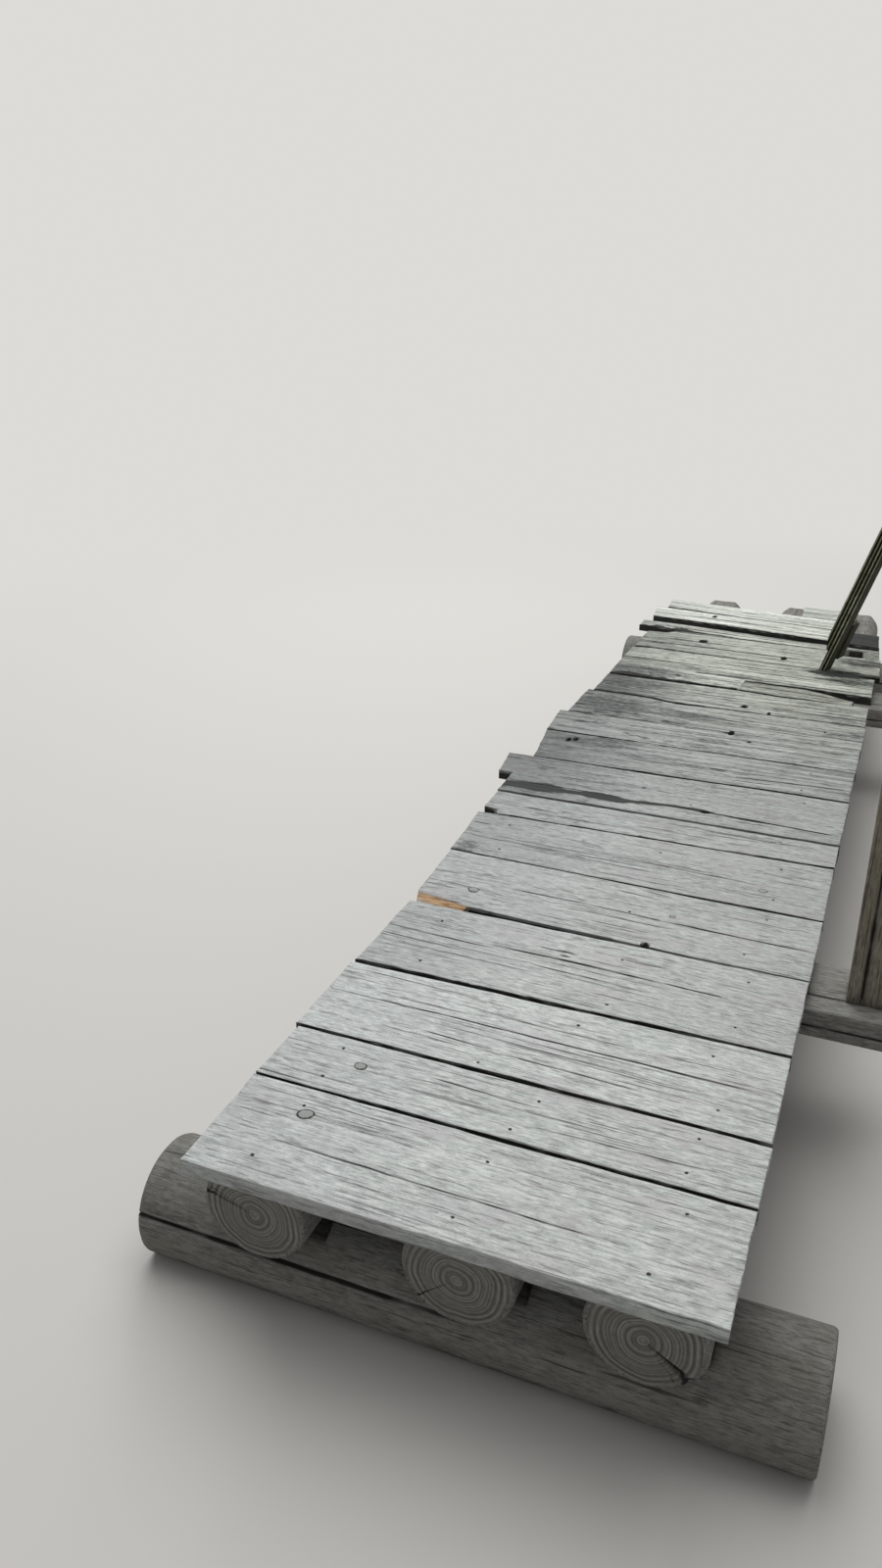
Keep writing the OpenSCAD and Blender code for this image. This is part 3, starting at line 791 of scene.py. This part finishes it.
def studded(name, spots, size, spread, tilt, spin, net, seed, material):
    """Domed shapes set at spots by Geometry Nodes, each turned to face outwards, made into one plain mesh. A
    spot has a point, a facing and a share of the size: length, width and height in millimetres."""
    points, facings, shares = zip(*spots)
    piece = new_object(name, points)
    store(piece.data, "facing", "FLOAT_VECTOR", facings)
    store(piece.data, "share", "FLOAT", shares)

    tree = bpy.data.node_groups.new(name + "_tree", "GeometryNodeTree")
    put, maths, _, _ = tools(tree)
    values = {"Length": size[0] * MM, "Width": size[1] * MM, "Height": size[2] * MM, "Size Spread": spread,
              "Tilt": tilt, "Spin": spin, "Seed": seed, "Material": material}
    kinds = {"Seed": "Int", "Material": "Material"}
    tree.interface.new_socket("Geometry", in_out="INPUT", socket_type="NodeSocketGeometry")
    keys = {}
    for label in values:
        kind = "NodeSocket" + kinds.get(label, "Float")
        keys[label] = tree.interface.new_socket(label, in_out="INPUT", socket_type=kind).identifier
    tree.interface.new_socket("Geometry", in_out="OUTPUT", socket_type="NodeSocketGeometry")

    # A dome of the wanted size that keeps its own coordinates, for rings that run round its middle
    given = add(tree, "NodeGroupInput").outputs
    dome = put("GeometryNodeMeshUVSphere", {"Segments": net[0], "Rings": net[1], "Radius": 0.5})
    scale = put("ShaderNodeCombineXYZ", {"X": given["Length"], "Y": given["Width"], "Z": given["Height"]})
    shaped = put("GeometryNodeTransform", {"Geometry": dome, "Scale": scale})
    place = put("GeometryNodeInputPosition")
    kept = put("GeometryNodeStoreNamedAttribute", {"Geometry": shaped, "Name": "grain", "Value": place},
               data_type="FLOAT_VECTOR", domain="POINT")
    # Each dome faces outwards, leans a little and is a little smaller, at random
    facing = put("GeometryNodeInputNamedAttribute", {"Name": "facing"}, data_type="FLOAT_VECTOR")
    upright = put("FunctionNodeAlignRotationToVector", {"Vector": facing}, axis="Z")
    limits = []
    for sign in (-1.0, 1.0):
        lean = maths("MULTIPLY", given["Tilt"], sign)
        turn = maths("MULTIPLY", given["Spin"], sign)
        limits.append(put("ShaderNodeCombineXYZ", {"X": lean, "Y": lean, "Z": turn}))
    lean = put("FunctionNodeRandomValue", {0: limits[0], 1: limits[1], "Seed": given["Seed"]},
               data_type="FLOAT_VECTOR")
    lean = put("FunctionNodeEulerToRotation", {"Euler": lean})
    turned = put("FunctionNodeRotateRotation", {"Rotation": upright, "Rotate By": lean},
                 rotation_space="LOCAL")
    small = maths("SUBTRACT", 1.0, given["Size Spread"])
    chosen = add(tree, "FunctionNodeRandomValue", {2: small, 3: 1.0, "Seed": given["Seed"]},
                 data_type="FLOAT").outputs[1]
    share = put("GeometryNodeInputNamedAttribute", {"Name": "share"}, data_type="FLOAT")
    scaled = maths("MULTIPLY", chosen, share)
    many = put("GeometryNodeInstanceOnPoints", {"Points": given["Geometry"], "Instance": kept,
                                                "Rotation": turned, "Scale": scaled})
    real = put("GeometryNodeRealizeInstances", {"Geometry": many})
    smooth = put("GeometryNodeSetShadeSmooth", {"Geometry": real})
    painted = put("GeometryNodeSetMaterial", {"Geometry": smooth, "Material": given["Material"]})
    add(tree, "NodeGroupOutput", {"Geometry": painted})

    modifier = piece.modifiers.new("Set on the wood", "NODES")
    modifier.node_group = tree
    for label, value in values.items():
        modifier[keys[label]] = value
    bpy.context.view_layer.update()
    made = bpy.data.meshes.new_from_object(piece.evaluated_get(bpy.context.evaluated_depsgraph_get()))
    piece.modifiers.clear()
    piece.data = made
    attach(piece, "root")


def spots_on_deck(places, boards, sunk):
    """Spots on the boards' real upper surface, from places that have x, y and a share of the full size."""
    spots = []
    for x, y, share in places:
        hits = [tree.ray_cast(Vector((x, y, 0.5)), Vector((0, 0, -1)), 0.3)[0] for tree in boards]
        tops = [hit.z for hit in hits if hit is not None and hit.z > LOG_TOP + 0.012]
        if tops:
            spots.append(((x, y, tops[0] - sunk), (0, 0, 1), share))
    return spots


def deck_nails(boards, material):
    """Nail heads where the boards cross the stringers, most of them driven just under the surface."""
    chance = np.random.default_rng(31)
    seen = [(-362, 768), (82, 762), (61, 481), (95, 578), (-342, 587), (45, 980), (60, 1652), (45, 1318),
            (-385, 1325), (-362, 1175), (140, 2213), (362, 2401), (-89, 288)]
    places = [(x * MM, y * MM, 1.0) for x, y in seen]
    for number in range(1, 10):
        low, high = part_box("plank_%02d" % number)
        for x0, x1 in STRINGER_X if number < 3 else STRINGER_X[2:]:
            for share in (0.2, 0.8):
                y = low.y + share * (high.y - low.y) + chance.uniform(-0.008, 0.008)
                x = x0 + (x1 - x0) * y / SPAN + chance.uniform(-0.022, 0.022)
                if min(math.hypot(x - px, y - py) for px, py, _ in places) > 0.085:
                    places.append((x, y, 1.0))
    spots = spots_on_deck(places, boards, 0.3 * MM)
    studded("deck_nails", spots, (9.6, 8.6, 2.4), 0.25, 0.16, 3.1, (12, 6), 11, material)


def rail_nails(material):
    """Nail heads that hold the rails to the posts."""
    spots = []
    for y in BEARER_Y:
        for dx in (-0.018, 0.020):
            spots.append(((POST_X + dx, y + dx * 0.7, RAIL_TOP - 1.1 * MM), (0, 0, 1), 1.0))
        for dz in (-0.024, 0.026):
            spots.append(((LOWER_RAIL_FACE_X - 1.0 * MM, y + dz * 0.6, LOWER_RAIL_Z + dz), (1, 0, 0), 1.0))
    studded("rail_nails", spots, (8.5, 8.2, 3.0), 0.1, 0.1, 3.1, (12, 6), 12, material)


def deck_knots(boards, material):
    """Hard knots that stand a little proud where the boards have worn down round them."""
    seen = [(-346, 938, 1.0), (148, 996, 0.62), (-41, 3092, 0.7), (-165, 1311, 0.5), (-300, 190, 0.9),
            (330, 1210, 0.8), (330, 1500, 0.7), (-330, 20, 1.1)]
    spots = spots_on_deck([(x * MM, y * MM, share) for x, y, share in seen], boards, 0.6 * MM)
    studded("deck_knots", spots, (33, 27, 4.0), 0.0, 0.02, 0.4, (24, 10), 17, material)


# Materials

def linear(code):
    """An sRGB colour written in hex, as the linear colour that a socket takes."""
    parts = [int(code[k:k + 2], 16) / 255 for k in (1, 3, 5)]
    return tuple(p / 12.92 if p <= 0.04045 else ((p + 0.055) / 1.055) ** 2.4 for p in parts) + (1.0,)


def add(tree, kind, inputs=None, **settings):
    """Adds a node, sets its properties, and fills its inputs with values, hex colours or other sockets."""
    made = tree.nodes.new(kind)
    for name, value in settings.items():
        setattr(made, name, value)
    for name, value in (inputs or {}).items():
        if isinstance(value, bpy.types.NodeSocket):
            tree.links.new(value, made.inputs[name])
        else:
            is_colour = isinstance(value, str) and value.startswith("#")
            made.inputs[name].default_value = linear(value) if is_colour else value
    return made


def tools(tree):
    """Short ways to add the nodes that are used most. Each gives its new node's socket."""
    def put(kind, inputs=None, **settings):
        return add(tree, kind, inputs, **settings).outputs[0]

    def maths(operation, a, b=0.0, c=0.0):
        return put("ShaderNodeMath", {0: a, 1: b, 2: c}, operation=operation)

    def eased(value, low, high, to_low=0.0, to_high=1.0):
        return put("ShaderNodeMapRange", {0: value, 1: low, 2: high, 3: to_low, 4: to_high},
                   interpolation_type="SMOOTHSTEP")

    def blend(share, a, b, **settings):
        return add(tree, "ShaderNodeMix", {0: share, 6: a, 7: b}, data_type="RGBA", **settings).outputs[2]

    return put, maths, eased, blend


def cleared(owner):
    """The node tree of a material or a world, with nothing in it."""
    owner.use_nodes = True
    owner.node_tree.nodes.clear()
    return owner.node_tree


def covered(tree, colour, height, relief, strength, more):
    """Ends a material with its colour and what else it has, and with a relief of so many millimetres."""
    bump = add(tree, "ShaderNodeBump", {"Height": height, "Distance": relief * MM, "Strength": strength})
    shader = add(tree, "ShaderNodeBsdfPrincipled", {"Base Color": colour, "Normal": bump.outputs[0], **more})
    add(tree, "ShaderNodeOutputMaterial", {"Surface": shader.outputs[0]})


def wood_marks(tree, grain, cut, ring_mm, check_mm):
    """The patterns in old wood. Those that run long with the grain stop at an end that was cut across it."""
    put, maths, eased, _ = tools(tree)

    def noise(scale, detail=2.0, roughness=0.5, output="Fac"):
        stretched = put("ShaderNodeMapping", {"Vector": grain, "Scale": scale})
        return add(tree, "ShaderNodeTexNoise", {"Vector": stretched, "Scale": 1.0, "Detail": detail,
                                                "Roughness": roughness}).outputs[output]

    # Growth rings about the pith, bent by a slow wander of the trunk
    pulled = put("ShaderNodeVectorMath", {0: noise((1.4, 14, 14), 1.0, output="Color"), 1: (0.5, 0.5, 0.5)},
                 operation="SUBTRACT")
    bent = put("ShaderNodeVectorMath", {0: pulled, 1: (0.0, 0.014, 0.014), 2: grain},
               operation="MULTIPLY_ADD")
    round_pith = put("ShaderNodeVectorMath", {0: bent, 1: (0.0, 1.0, 1.0)}, operation="MULTIPLY")
    radius = add(tree, "ShaderNodeVectorMath", {0: round_pith}, operation="LENGTH").outputs["Value"]
    counted = maths("MULTIPLY", radius, 1000 / ring_mm)
    ring = put("ShaderNodeTexNoise", {"W": counted, "Scale": 1.0, "Detail": 2.0}, noise_dimensions="1D")
    # Fine checks: slits that a long stretched pattern leaves where it is deepest, in some bands more
    slits = noise((3.4, 1000 / check_mm, 1000 / check_mm), 1.0, 0.45)
    where = eased(noise((1.2, 24, 24), 1.0), 0.40, 0.62)
    slits = eased(maths("MULTIPLY_ADD", where, 0.09, slits), 0.72, 0.80)
    # Short torn fibres that hold dirt, and specks of grit
    torn = eased(noise((15, 165, 165), 2.0, 0.55), 0.585, 0.66)
    speck = eased(noise((200, 420, 420), 2.0, 0.5), 0.60, 0.72)
    uncut = maths("SUBTRACT", 1.0, cut)
    slits, torn, speck = (maths("MULTIPLY", mark, uncut) for mark in (slits, torn, speck))
    return SimpleNamespace(
        ring=eased(ring, 0.34, 0.66), slits=slits, torn=torn, speck=speck,
        # Fibres a few millimetres wide and short dashes, drawn a little coarser than real so that they show
        fibre=noise((30, 400, 400), 4.0, 0.62), dashes=noise((50, 220, 220), 3.0, 0.6),
        # Streaks, bands and blotches a finger wide, and patches a hand wide
        streak=noise((3.0, 85, 85), 3.0, 0.6), bands=maths("SUBTRACT", noise((2.2, 92, 92), 3.0, 0.62), 0.5),
        patch=noise((7, 14, 14), 3.0, 0.6), blotch=noise((38, 80, 80), 5.0, 0.68))


def weathered_wood(name, ridge, furrow, stain, check, damp, ring_mm, check_mm, relief, rough,
                   tint="", shade=0.0):
    """Grey weathered wood. Old softwood loses its soft spring wood to rain and sun: the hard rings stand up
    pale, the furrows between them stay dark, and drying opens fine dark checks along the grain. A tint is the
    film of old algae that warms it towards the right and under the trees at the far end."""
    material = bpy.data.materials.new(name)
    tree = cleared(material)
    put, maths, eased, blend = tools(tree)
    grain = add(tree, "ShaderNodeAttribute", attribute_name="grain").outputs["Vector"]
    cut = add(tree, "ShaderNodeAttribute", attribute_name="cut").outputs["Fac"]
    wear = add(tree, "ShaderNodeAttribute", attribute_name="wear").outputs
    dirt_and_shade, grime_and_shadow, fresh = add(tree, "ShaderNodeSeparateColor", {"Color": wear["Color"]}).outputs
    place = add(tree, "ShaderNodeTexCoord").outputs["Object"]
    x, y, _ = add(tree, "ShaderNodeSeparateXYZ", {0: place}).outputs
    mark = wood_marks(tree, grain, cut, ring_mm, check_mm)

    def total(start, *shares):
        for value, share in shares:
            start = maths("MULTIPLY_ADD", value, share, start)
        return start

    light = total(0.0, (mark.fibre, 0.70), (mark.ring, 0.08), (mark.dashes, 0.68), (mark.streak, 0.18),
                  (mark.blotch, 0.46))
    # Under the trees the boards have worn rougher, with longer streaks and brown stains, and their furrows
    # are drawn darker, partly wear and partly painted shade from the trees
    shaded = eased(y, 1.2, 2.3, 0.0, shade)
    rougher = total(0.16, (mark.blotch, -0.14), (mark.dashes, -0.18), (mark.bands, 1.15))
    light = total(light, (shaded, rougher))
    # An end cut across the grain shows the rings instead
    ringed = total(0.58, (mark.blotch, 0.40), (mark.ring, 0.42))
    light = total(light, (cut, maths("SUBTRACT", ringed, light)))
    colour = blend(eased(light, 0.72, 1.32), blend(shaded, furrow, "#595e5f"), ridge)
    colour = blend(eased(mark.patch, 0.46, 0.66, 0.0, 0.50), colour, blend(shaded, stain, "#8f8f8b"))
    lift = maths("MULTIPLY", total(wear["Alpha"], (maths("SUBTRACT", mark.patch, 0.5), 0.22)), 2.0)
    colour = put("ShaderNodeHueSaturation", {"Color": colour, "Value": lift})
    for dark, strength in ((mark.speck, 0.38), (mark.slits, 0.65), (mark.torn, 0.42)):
        colour = blend(maths("MULTIPLY", dark, strength), colour, check)
    if tint:
        algae = total(eased(y, 1.9, 3.0, 0.0, 0.65), (eased(x, -0.45, 0.45), 0.25))
        algae = maths("MULTIPLY", algae, eased(y, 3.35, 3.65, 1.0, 0.7))
        colour = blend(algae, colour, tint, blend_type="MULTIPLY")
    # Grime and the painted shadow on the deck draw the wood towards a damp colour.
    ragged = maths("SUBTRACT", grime_and_shadow, total(-0.6, (mark.dashes, 0.5), (mark.blotch, 0.7)))
    soaked = blend(eased(mark.streak, 0.50, 0.68, 0.0, 0.6), damp, "#443e39")
    colour = blend(eased(ragged, 0.22, 0.92), colour, soaked)
    raw = blend(eased(total(mark.fibre, (mark.streak, 0.8)), 0.62, 1.12), "#7b573a", "#c8ab86")
    colour = blend(fresh, colour, raw)
    # Dirt and painted shade lie with a ragged edge: full in the cracks and gaps, a thin film where they are
    # slight
    uneven = total(-0.30, (mark.dashes, 0.25), (mark.blotch, 0.35))
    packed = maths("MAXIMUM", eased(maths("ADD", dirt_and_shade, uneven), 0.36, 0.82), maths("MULTIPLY", dirt_and_shade, 0.5))
    colour = blend(maths("MULTIPLY", packed, 0.95), colour, "#141210")
    height = total(0.0, (mark.fibre, 0.80), (mark.ring, 0.20), (mark.dashes, 0.85), (mark.streak, 0.35),
                   (mark.slits, -1.0))
    covered(tree, colour, height, relief, 1.0, {"Roughness": rough, "IOR": 1.5, "Specular IOR Level": 0.25})
    return material


def silvered_deck_boards():
    """Rough-sawn softwood boards, silvered by years of sun and rain, with dirt in their furrows and algae."""
    return weathered_wood("rough_sawn_softwood_silvered", "#c4c8c6", "#878b8b", "#a09ca0", "#3b3a37",
                          "#35393a", ring_mm=4.2, check_mm=3.6, relief=1.0, rough=0.86,
                          tint="#fffef0", shade=1.0)


def rotten_split_wood():
    """The split-off strip: the same softwood, damper and darker, with soft brown rot along its splits."""
    return weathered_wood("softwood_split_and_damp", "#c4c8c6", "#848886", "#9a9284", "#383731", "#453a2e",
                          ring_mm=4.2, check_mm=3.8, relief=1.2, rough=0.88, tint="#fffef0", shade=1.0)


def debarked_log_wood():
    """Round softwood with its bark peeled off, gone brown-grey in the shade under the deck, with long checks.
    Its rings are drawn a little wider than real, so that they show on the cut ends."""
    return weathered_wood("debarked_softwood_log", "#93938e", "#5b5a55", "#69655c", "#282520", "#32332d",
                          ring_mm=5.6, check_mm=5.5, relief=1.6, rough=0.84)


def hewn_bearer_wood():
    """Squared bearers, hewn with an axe and gone blue-grey where rain reaches them."""
    return weathered_wood("hewn_softwood_bearer", "#9d9d98", "#5f5f5b", "#75706a", "#2a2826", "#3c3b36",
                          ring_mm=4.6, check_mm=4.6, relief=1.5, rough=0.86)


def sawn_rail_wood():
    """Planed posts and rails, weathered grey-brown, with a film of algae on their sheltered sides."""
    return weathered_wood("planed_softwood_weathered", "#9b978a", "#5d594d", "#756c5c", "#2b2722", "#3b3d30",
                          ring_mm=3.6, check_mm=4.2, relief=0.8, rough=0.8)


def furrowed_strut_wood():
    """The deeply furrowed strut: sun-bleached ridges, and dark greenish sides with old algae, drawn darker
    still as painted shade.
    """
    return weathered_wood("furrowed_softwood_bleached_and_shaded", "#7a7b68", "#2b2d22", "#3c3b28", "#11110c", "#181c12",
                          ring_mm=3.4, check_mm=3.6, relief=1.2, rough=0.82)


def rusted_nail_steel():
    """Drawn steel wire nails, rusted dark brown all over with no bright metal left."""
    material = bpy.data.materials.new("wire_nail_steel_rusted")
    tree = cleared(material)
    put, _, _, blend = tools(tree)
    place = add(tree, "ShaderNodeTexCoord").outputs["Object"]
    scale = put("ShaderNodeTexNoise", {"Vector": place, "Scale": 700.0, "Detail": 3.0})
    covered(tree, blend(scale, "#23201d", "#453c35"), scale, 0.3, 0.8, {"Roughness": 0.78, "Metallic": 0.25})
    return material


def grey_knot_wood():
    """A softwood knot cut across: close rings about its own middle, a dark rim of old bark, gone grey."""
    material = bpy.data.materials.new("softwood_knot_greyed")
    tree = cleared(material)
    put, maths, eased, blend = tools(tree)
    place = add(tree, "ShaderNodeAttribute", attribute_name="grain").outputs["Vector"]
    flat = put("ShaderNodeVectorMath", {0: place, 1: (1.0, 1.3, 0.0)}, operation="MULTIPLY")
    out = add(tree, "ShaderNodeVectorMath", {0: flat}, operation="LENGTH").outputs["Value"]
    around = put("ShaderNodeTexNoise", {"Vector": place, "Scale": 160.0, "Detail": 2.0})
    bent = maths("MULTIPLY_ADD", around, 0.006, out)
    ring = put("ShaderNodeTexNoise", {"W": maths("MULTIPLY", bent, 900.0), "Scale": 1.0, "Detail": 1.0},
               noise_dimensions="1D")
    colour = blend(ring, "#878a87", "#a6aaa7")
    colour = blend(eased(bent, 0.0148, 0.0164, 0.0, 0.95), colour, "#2f2b27")
    covered(tree, colour, ring, 0.5, 1.0, {"Roughness": 0.85, "Specular IOR Level": 0.25})
    return material


# Stage, lamps and camera

def pale_floor():
    """A plain pale studio floor that keeps the bridge's shadow and runs out into the pale surround."""
    half = 30.0
    corners = [(-half, -half, 0), (half, -half, 0), (half, half, 0), (-half, half, 0)]
    floor = new_object("studio_floor", corners, [(0, 1, 2, 3)])
    material = bpy.data.materials.new("matt_painted_floor")
    tree = cleared(material)
    put, maths, eased, _ = tools(tree)
    place = add(tree, "ShaderNodeTexCoord").outputs["Object"]
    away = add(tree, "ShaderNodeVectorMath", {0: place, 1: (0.0, 1.9, 0.0)}, operation="DISTANCE")
    ray = add(tree, "ShaderNodeLightPath").outputs["Is Camera Ray"]
    share = maths("MULTIPLY", eased(away.outputs["Value"], 2.6, 5.6), ray)
    paint = put("ShaderNodeBsdfDiffuse", {"Color": "#cfcdc9"})
    glow = put("ShaderNodeEmission", {"Color": SURROUND, "Strength": 1.0})
    mixed = put("ShaderNodeMixShader", {0: share, 1: paint, 2: glow})
    add(tree, "ShaderNodeOutputMaterial", {"Surface": mixed})
    floor.data.materials.append(material)


def area_lamp(name, place, target, size, watts):
    """A soft rectangular lamp that faces a target."""
    data = bpy.data.lights.new(name, "AREA")
    data.shape = "RECTANGLE"
    data.size, data.size_y = size
    data.energy = watts
    lamp = bpy.data.objects.new(name, data)
    lamp.location = place
    lamp.rotation_euler = (Vector(target) - Vector(place)).to_track_quat("-Z", "Y").to_euler()
    bpy.context.scene.collection.objects.link(lamp)


def studio_light():
    """Soft light from overhead and a little from behind, as under an open sky, and a pale surround."""
    world = bpy.data.worlds.new("pale_surround")
    bpy.context.scene.world = world
    tree = cleared(world)
    put, maths, _, _ = tools(tree)
    ray = add(tree, "ShaderNodeLightPath").outputs
    seen = maths("MAXIMUM", ray["Is Camera Ray"], ray["Is Glossy Ray"])
    dim = put("ShaderNodeBackground", {"Color": "#ffffff", "Strength": 0.28})
    pale = put("ShaderNodeBackground", {"Color": SURROUND, "Strength": 1.0})
    mixed = put("ShaderNodeMixShader", {0: seen, 1: dim, 2: pale})
    add(tree, "ShaderNodeOutputWorld", {"Surface": mixed})
    area_lamp("overhead_softbox", (-1.2, 3.4, 7.0), (0.0, 1.8, 0.0), (8.0, 9.0), 560)
    area_lamp("far_side_softbox", (-5.0, 8.5, 4.5), (0.0, 1.9, 0.3), (2.5, 2.5), 120)


def photo_camera():
    """The photographer's phone: held about 1.45 m over the deck, just off its near right corner."""
    data = bpy.data.cameras.new("phone_camera")
    data.lens = 27.0
    data.sensor_width = 36.0
    camera = bpy.data.objects.new("phone_camera", data)
    camera.location = (0.565, -1.50, 1.815)
    camera.rotation_euler = (math.radians(66), 0.0, math.radians(22.3))
    bpy.context.scene.collection.objects.link(camera)
    bpy.context.scene.camera = camera


# The bridge

def deck(boards_wood, rotten_wood, knot_wood, nail_steel):
    """All the deck boards, then the nails and knots that sit in them."""
    boards = [deck_board(n, "plank_%02d" % n, boards_wood) for n in range(1, 20)]
    boards.append(deck_board(20, "broken_strip", rotten_wood))
    surfaces = [search_tree(editable(board.data)) for board in boards]
    deck_nails(surfaces, nail_steel)
    deck_knots(surfaces, knot_wood)


def logs(wood):
    """The three stringers and the two sills under them."""
    left, middle, right = STRINGER_X
    stringer("left_stringer", *left, [
        (188, -1, 2.6, 7, 16, 0.10), (322, 0.9, 5, 6, 12), (236, 1.4, 3.2, 4, 8)], wood, 211)
    stringer("middle_stringer", *middle, [
        (205, -1, 1.9, 6, 12), (340, 1.2, 5, 7, 15, -0.08), (262, 0.4, 2.2, 4, 8)], wood, 223)
    stringer("right_stringer", *right, [
        (352, -1, 3.0, 7, 16, 0.06), (212, 1.0, 5, 6, 12), (300, 1.8, 3.4, 4, 9)], wood, 237)
    near_seats, far_seats = zip(*STRINGER_X)
    sill("near_sill", near_seats, [(20, -1, 0.8, 6, 13), (155, 0.5, 5, 7, 15)], wood, 251)
    sill("far_sill", far_seats, [(32, 0.4, 5, 7, 14), (160, -1, 0.7, 6, 12)], wood, 263)


def bearers(wood):
    """The two cross bearers that carry the handrail posts."""
    for node, seed in (("near_cross_bearer", 301), ("far_cross_bearer", 313)):
        squared_timber(node, (1, 0, 0), (0, 1, 0), wood, seed, worn=2.6, splits=(
            ("a+", 0.55, 0.45, 1.2, 3.5, 9), ("a-", 0.40, 0.55, 1.2, 3.0, 8), ("b+", 0.3, 0.7, 1.2, 3.0, 7)))


def handrail(wood):
    """Posts, top rail and lower rail."""
    for node, seed in (("near_post", 331), ("far_post", 347)):
        squared_timber(node, (0, 0, 1), (1, 0, 0), wood, seed, splits=(
            ("a-", 0.58, 0.25, 1.2, 3.5, 12), ("a+", 0.40, 0.1, 0.8, 3.0, 9), ("b+", 0.52, 0.35, 1.2, 2.6, 8),
            ("b-", 0.35, -0.2, 0.7, 2.4, 7)))
    squared_timber("top_rail", (0, 1, 0), (1, 0, 0), wood, 359, worn=1.8, tone=0.55, splits=(
        ("b-", 0.50, -0.2, 0.34, 3.2, 10), ("b-", 0.42, 0.5, 0.93, 2.6, 8), ("b-", 0.64, 0.25, 0.6, 2.0, 6)))
    squared_timber("lower_rail", (0, 1, 0), (1, 0, 0), wood, 373, splits=(
        ("a+", 0.45, -0.2, 0.4, 2.4, 7), ("a+", 0.62, 0.55, 1.2, 2.6, 8), ("a-", 0.5, 0.3, 0.75, 2.2, 6)))


def strut(wood):
    """The raking strut and the short cleat on its back."""
    slant = (STRUT_HEAD - STRUT_FOOT).normalized()
    turn = math.atan2(slant.y, slant.x)
    lean = math.acos(slant.z)
    aside = Vector((math.cos(turn) * math.cos(lean), math.sin(turn) * math.cos(lean), -math.sin(lean)))
    back = Vector((-math.sin(turn), math.cos(turn), 0.0))
    width = aside * math.cos(STRUT_ROLL) + back * math.sin(STRUT_ROLL)
    # The strut and its cleat are drawn dark with a low tone, as painted shade.
    squared_timber("raking_strut", slant, width, wood, 389, step=0.012, worn=1.0,
                   tone=0.22, furrowed=True)
    squared_timber("strut_cleat", slant, width, wood, 397, step=0.010, worn=1.6, tone=0.24)


def build_bridge():
    """The whole bridge."""
    finishes = {"deck_planks": silvered_deck_boards(), "rotten_wood": rotten_split_wood(),
                "logs": debarked_log_wood(), "bearer_timber": hewn_bearer_wood(),
                "rail_timber": sawn_rail_wood(), "strut_timber": furrowed_strut_wood()}
    nail_steel = rusted_nail_steel()
    for part in frame["record"]["subparts"]:
        node = frame["nodes"][part["node"]]
        node.data.materials.clear()
        node.data.materials.append(finishes[part["material_slot"]])
    deck(finishes["deck_planks"], finishes["rotten_wood"], grey_knot_wood(), nail_steel)
    logs(finishes["logs"])
    bearers(finishes["bearer_timber"])
    handrail(finishes["rail_timber"])
    strut(finishes["strut_timber"])
    rail_nails(nail_steel)


photo_camera()
build_bridge()
pale_floor()
studio_light()
bpy.context.scene.view_settings.view_transform = "Standard"
